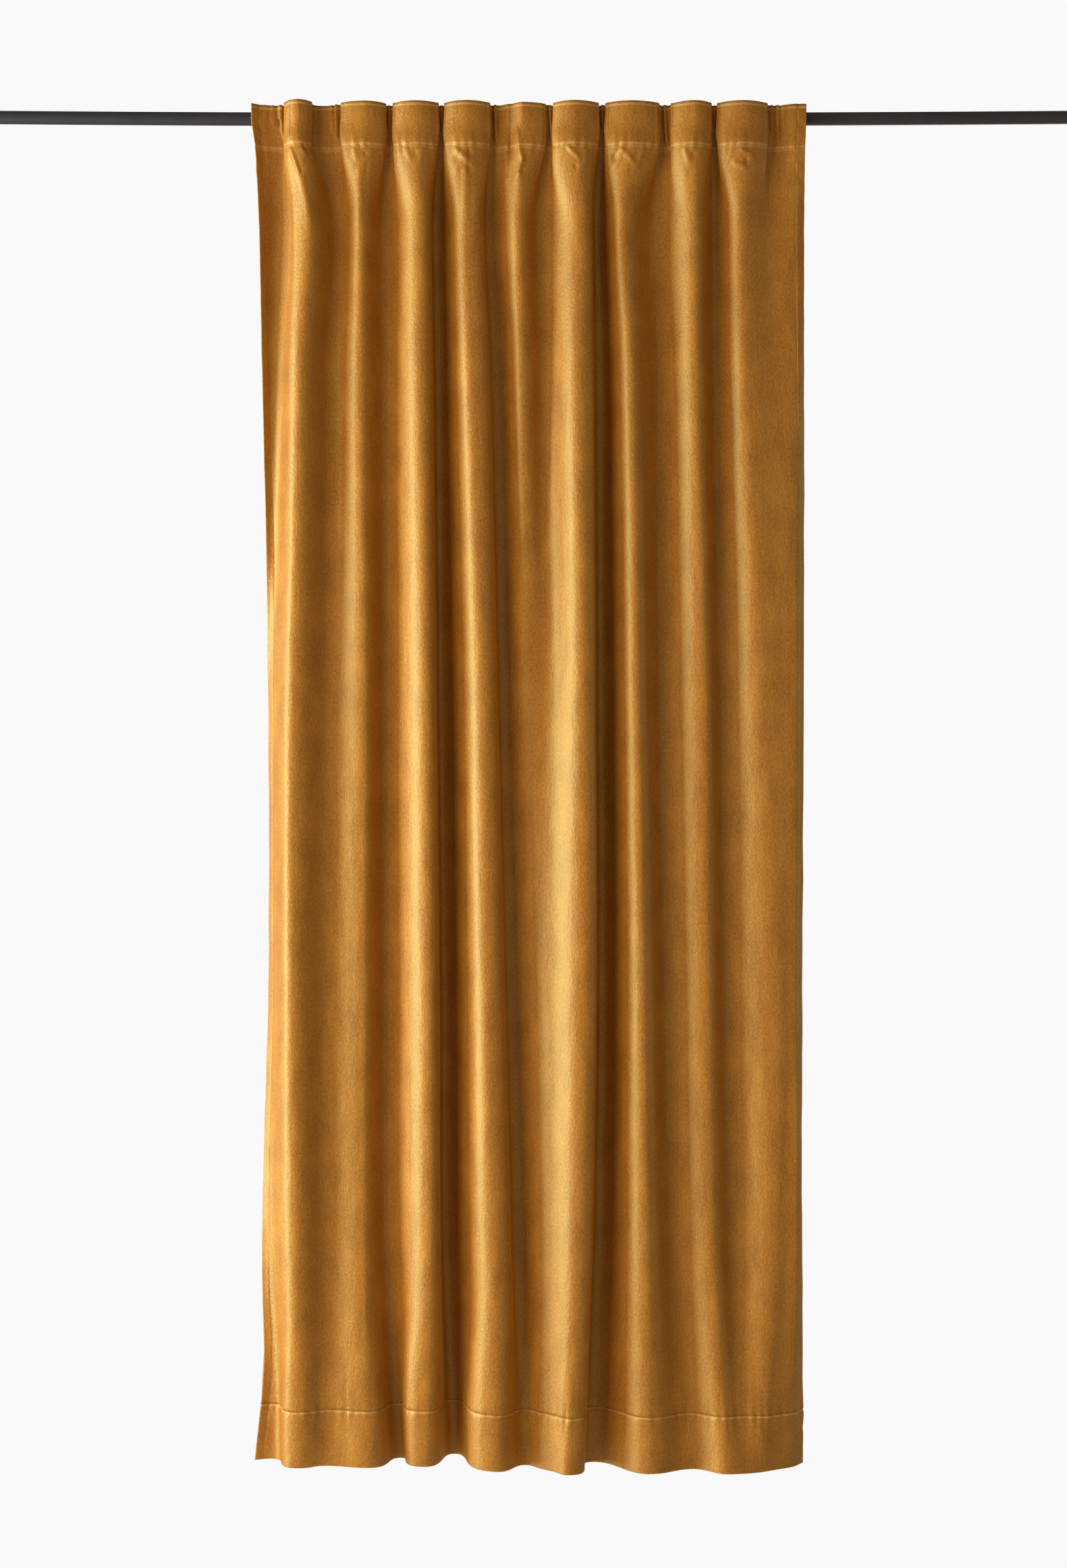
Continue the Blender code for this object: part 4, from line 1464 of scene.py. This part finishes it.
@dataclass
class BackTabs:
    """The tabs behind the heading's valleys: strips sewn above and below, with the rod between."""

    rod: Rod
    curtain: Curtain
    tape: WovenTape = field(default_factory=WovenTape)
    across_mm: tuple[float, ...] = (-464, -366, -266, -169, -73, 29, 124, 237, 331, 443)
    width: float = 16 * MM
    thick: float = 1.2 * MM
    gap: float = 0.4 * MM
    top_z: float = 18.5 * MM
    top_seam: float = 3 * MM
    foot_z: float = -52 * MM
    foot_seam: float = 6 * MM
    edge_least: float = 0.4
    arc_steps: int = 40
    width_steps: int = 12

    def line(self, axis_z: float) -> Array:
        """The middle line of a tab in the YZ plane, from its upper seam round the rod to its foot.

        Args:
            axis_z: the rod's axis there.

        Returns:
            Points as y and z, a row each.
        """
        held_y = -self.curtain.drape.held_forward + (self.curtain.head_thick + self.thick) / 2 + self.gap
        radius = self.rod.radius + self.gap + self.thick / 2
        top, foot = self.top_z - self.top_seam - axis_z, self.foot_z + self.foot_seam - axis_z
        over = math.atan2(top, held_y) - math.acos(radius / math.hypot(held_y, top))
        under = math.atan2(foot, held_y) + math.acos(radius / math.hypot(held_y, foot))
        turn = np.linspace(over, under, self.arc_steps)
        arc = np.stack([radius * np.cos(turn), radius * np.sin(turn) + axis_z], axis=1)
        upper, lower = (
            np.stack([np.full(count, held_y), np.linspace(start, end, count)], axis=1)
            for start, end, count in ((self.top_z, self.top_z - self.top_seam, 4),
                                      (self.foot_z + self.foot_seam, self.foot_z, 5))
        )
        return np.concatenate([upper, arc, lower])

    def build(self) -> list[bpy.types.Object]:
        """Makes the ten tabs: the line carried across the tab's width, thickened and rounded.

        Returns:
            The tabs from left to right.
        """
        material = self.tape.material()
        pieces = []
        for number, middle in enumerate(self.across_mm, 1):
            line = self.line(float(self.rod.rise(middle * MM)))
            across = np.linspace(-self.width / 2, self.width / 2, self.width_steps + 1)
            x = middle * MM + across + np.zeros((len(line), 1))
            grid = np.stack([x, *(np.repeat(line[:, k:k + 1], len(across), axis=1) for k in (0, 1))], axis=-1)
            edge = self.width / 2 - np.abs(across) + np.zeros((len(line), 1))
            half = self.thick / 2 * edge_rounding(edge, self.thick / 2, self.edge_least)
            points, quads = solid_from_sheet(grid, half)
            lengths = np.concatenate([[0.0], np.cumsum(np.linalg.norm(np.diff(line, axis=0), axis=1))])
            uv = np.stack([x, np.repeat(lengths[:, None], len(across), axis=1)], axis=-1).reshape(-1, 2)
            piece = make_mesh(f"back_tab_{number:02d}", points, quads, [material],
                              uv=np.concatenate([uv, uv]))
            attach(piece, BODY)
            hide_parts(f"tab_{number:02d}")
            pieces.append(piece)
        LOG.info("back tabs: %d", len(pieces))
        return pieces


@dataclass(frozen=True)
class Softbox:
    """An oblong lamp with a diffuser: where it stands, what it points at, its size and its power."""

    name: str
    place: tuple[float, float, float]
    aim: tuple[float, float, float]
    width: float
    height: float
    watts: float
    shines: bool = True  # whether glossy surfaces mirror it

    def build(self) -> bpy.types.Object:
        """Makes the lamp, hidden from the camera itself.

        Returns:
            The lamp's object.
        """
        lamp = bpy.data.lights.new(self.name, "AREA")
        lamp.shape = "RECTANGLE"
        lamp.size = self.width
        lamp.size_y = self.height
        lamp.energy = self.watts
        holder = bpy.data.objects.new(self.name, lamp)
        holder.location = self.place
        holder.rotation_euler = (Vector(self.aim) - Vector(self.place)).to_track_quat("-Z", "Y").to_euler()
        holder.visible_camera = False
        holder.visible_glossy = self.shines
        bpy.context.scene.collection.objects.link(holder)
        return holder


@dataclass
class Studio:
    """A pale floor under a pale surround, soft lamps, and the camera in front of the rod's middle."""

    camera_place: tuple[float, float, float] = (0.0, -4.0, -1.2287)
    frame_height: float = 2.900  # how much the picture's long side shows at the rod
    sensor: float = 36.0
    backdrop: str = "#F9F9F9"
    surround_light: float = 0.24
    surround_tint: str = "#FFE6CE"
    floor_z: float = -3.2
    floor_radius: float = 1.4
    floor_fade: float = 0.9
    floor_sides: int = 96
    floor_colour: str = "#F7F6F4"
    floor_lift: float = 0.75  # how much of the backdrop's paleness the camera sees on the floor
    lamps: tuple[Softbox, ...] = (
        Softbox("key", (-3.1, -0.75, -1.3), (0.0, 0.0, -1.3), 1.1, 3.7, 128.0),
        Softbox("key_front", (-2.5, -2.3, -1.3), (0.0, 0.0, -1.3), 1.8, 3.7, 80.0, False),
        Softbox("fill", (1.8, -3.4, -0.6), (0.0, 0.0, -1.3), 2.0, 2.4, 9.0, False),
        Softbox("left_edge", (-1.6, 0.9, -1.2), (-0.4, 0.0, -1.2), 0.6, 2.4, 3.0),
        Softbox("right_edge", (2.8, 0.1, -1.3), (0.0, 0.0, -1.3), 0.5, 3.2, 8.0),
        Softbox("behind", (0.8, 3.4, -0.7), (0.0, 0.0, -1.3), 2.4, 2.4, 60.0),
    )

    def surround(self) -> None:
        """Sets the world: seen as the pale backdrop, and lighting the scene more weakly than it looks."""
        world = bpy.data.worlds.new("pale_surround")
        world.use_nodes = True
        tree = world.node_tree
        tree.nodes.clear()
        ray = add_node(tree, "ShaderNodeLightPath").outputs["Is Camera Ray"]
        light = add_node(tree, "ShaderNodeBackground", {"Color": linear_rgb(self.surround_tint),
                                                        "Strength": self.surround_light}).outputs[0]
        seen = add_node(tree, "ShaderNodeBackground",
                        {"Color": linear_rgb(self.backdrop), "Strength": 1.0}).outputs[0]
        mixed = add_node(tree, "ShaderNodeMixShader", links={0: ray, 1: light, 2: seen}).outputs[0]
        add_node(tree, "ShaderNodeOutputWorld", links={"Surface": mixed})
        bpy.context.scene.world = world

    def floor(self) -> bpy.types.Object:
        """A round floor of matt painted board that fades into the surround towards its rim.

        Returns:
            The floor.
        """
        turn = np.arange(self.floor_sides) * 2 * math.pi / self.floor_sides
        points = np.stack([self.floor_radius * np.cos(turn), self.floor_radius * np.sin(turn),
                           np.full(self.floor_sides, self.floor_z)], axis=1)
        material, tree = start_material("matt_painted_board")
        place = add_node(tree, "ShaderNodeTexCoord").outputs["Object"]
        flat = add_node(tree, "ShaderNodeVectorMath", {"operation": "MULTIPLY", 1: (1.0, 1.0, 0.0)},
                        {0: place}).outputs[0]
        away = add_node(tree, "ShaderNodeVectorMath", {"operation": "LENGTH"}, {0: flat}).outputs["Value"]
        fade = add_node(tree, "ShaderNodeMapRange",
                        {"interpolation_type": "SMOOTHSTEP", "From Min": self.floor_radius - self.floor_fade,
                         "From Max": self.floor_radius}, {"Value": away}).outputs["Result"]
        ray = add_node(tree, "ShaderNodeLightPath").outputs["Is Camera Ray"]
        board = add_node(tree, "ShaderNodeBsdfDiffuse", {"Color": linear_rgb(self.floor_colour)}).outputs[0]
        lifted = add_node(tree, "ShaderNodeEmission", {"Color": linear_rgb(self.backdrop)}).outputs[0]
        pale = add_node(tree, "ShaderNodeMath", {"operation": "MULTIPLY", 1: self.floor_lift},
                        {0: ray}).outputs[0]
        paint = add_node(tree, "ShaderNodeMixShader", links={0: pale, 1: board, 2: lifted}).outputs[0]
        clear = add_node(tree, "ShaderNodeBsdfTransparent").outputs[0]
        mixed = add_node(tree, "ShaderNodeMixShader", links={0: fade, 1: paint, 2: clear}).outputs[0]
        add_node(tree, "ShaderNodeOutputMaterial", links={"Surface": mixed})
        floor = make_mesh("floor", points, [list(range(self.floor_sides))], [material])
        return floor

    def camera(self) -> bpy.types.Object:
        """The camera, level and square to the rod; its lens is sensor times distance over height seen.

        Returns:
            The camera's object.
        """
        lens = bpy.data.cameras.new("camera")
        lens.sensor_width = self.sensor
        lens.lens = self.sensor * -self.camera_place[1] / self.frame_height
        holder = bpy.data.objects.new("camera", lens)
        holder.location = self.camera_place
        holder.rotation_euler = (math.pi / 2, 0.0, 0.0)
        bpy.context.scene.collection.objects.link(holder)
        bpy.context.scene.camera = holder
        return holder

    def build(self) -> None:
        """Sets up the surround, the floor, the lamps and the camera."""
        bpy.context.scene.view_settings.view_transform = "Standard"
        self.surround()
        self.floor()
        for lamp in self.lamps:
            lamp.build()
        self.camera()
        LOG.info("studio: %d lamps", len(self.lamps))


def main() -> None:
    """Builds the curtain, its stitching, the rod, the tabs and the studio, in that order."""
    logging.basicConfig(level=logging.INFO, format="%(name)s: %(message)s")
    curtain = Curtain()
    cloth, surfaces = curtain.build()
    stitches = Stitching(curtain).build(surfaces)
    rod = Rod()
    rod_piece = rod.build()
    tabs = BackTabs(rod, curtain).build()
    Studio().build()


if __name__ == "__main__":
    main()
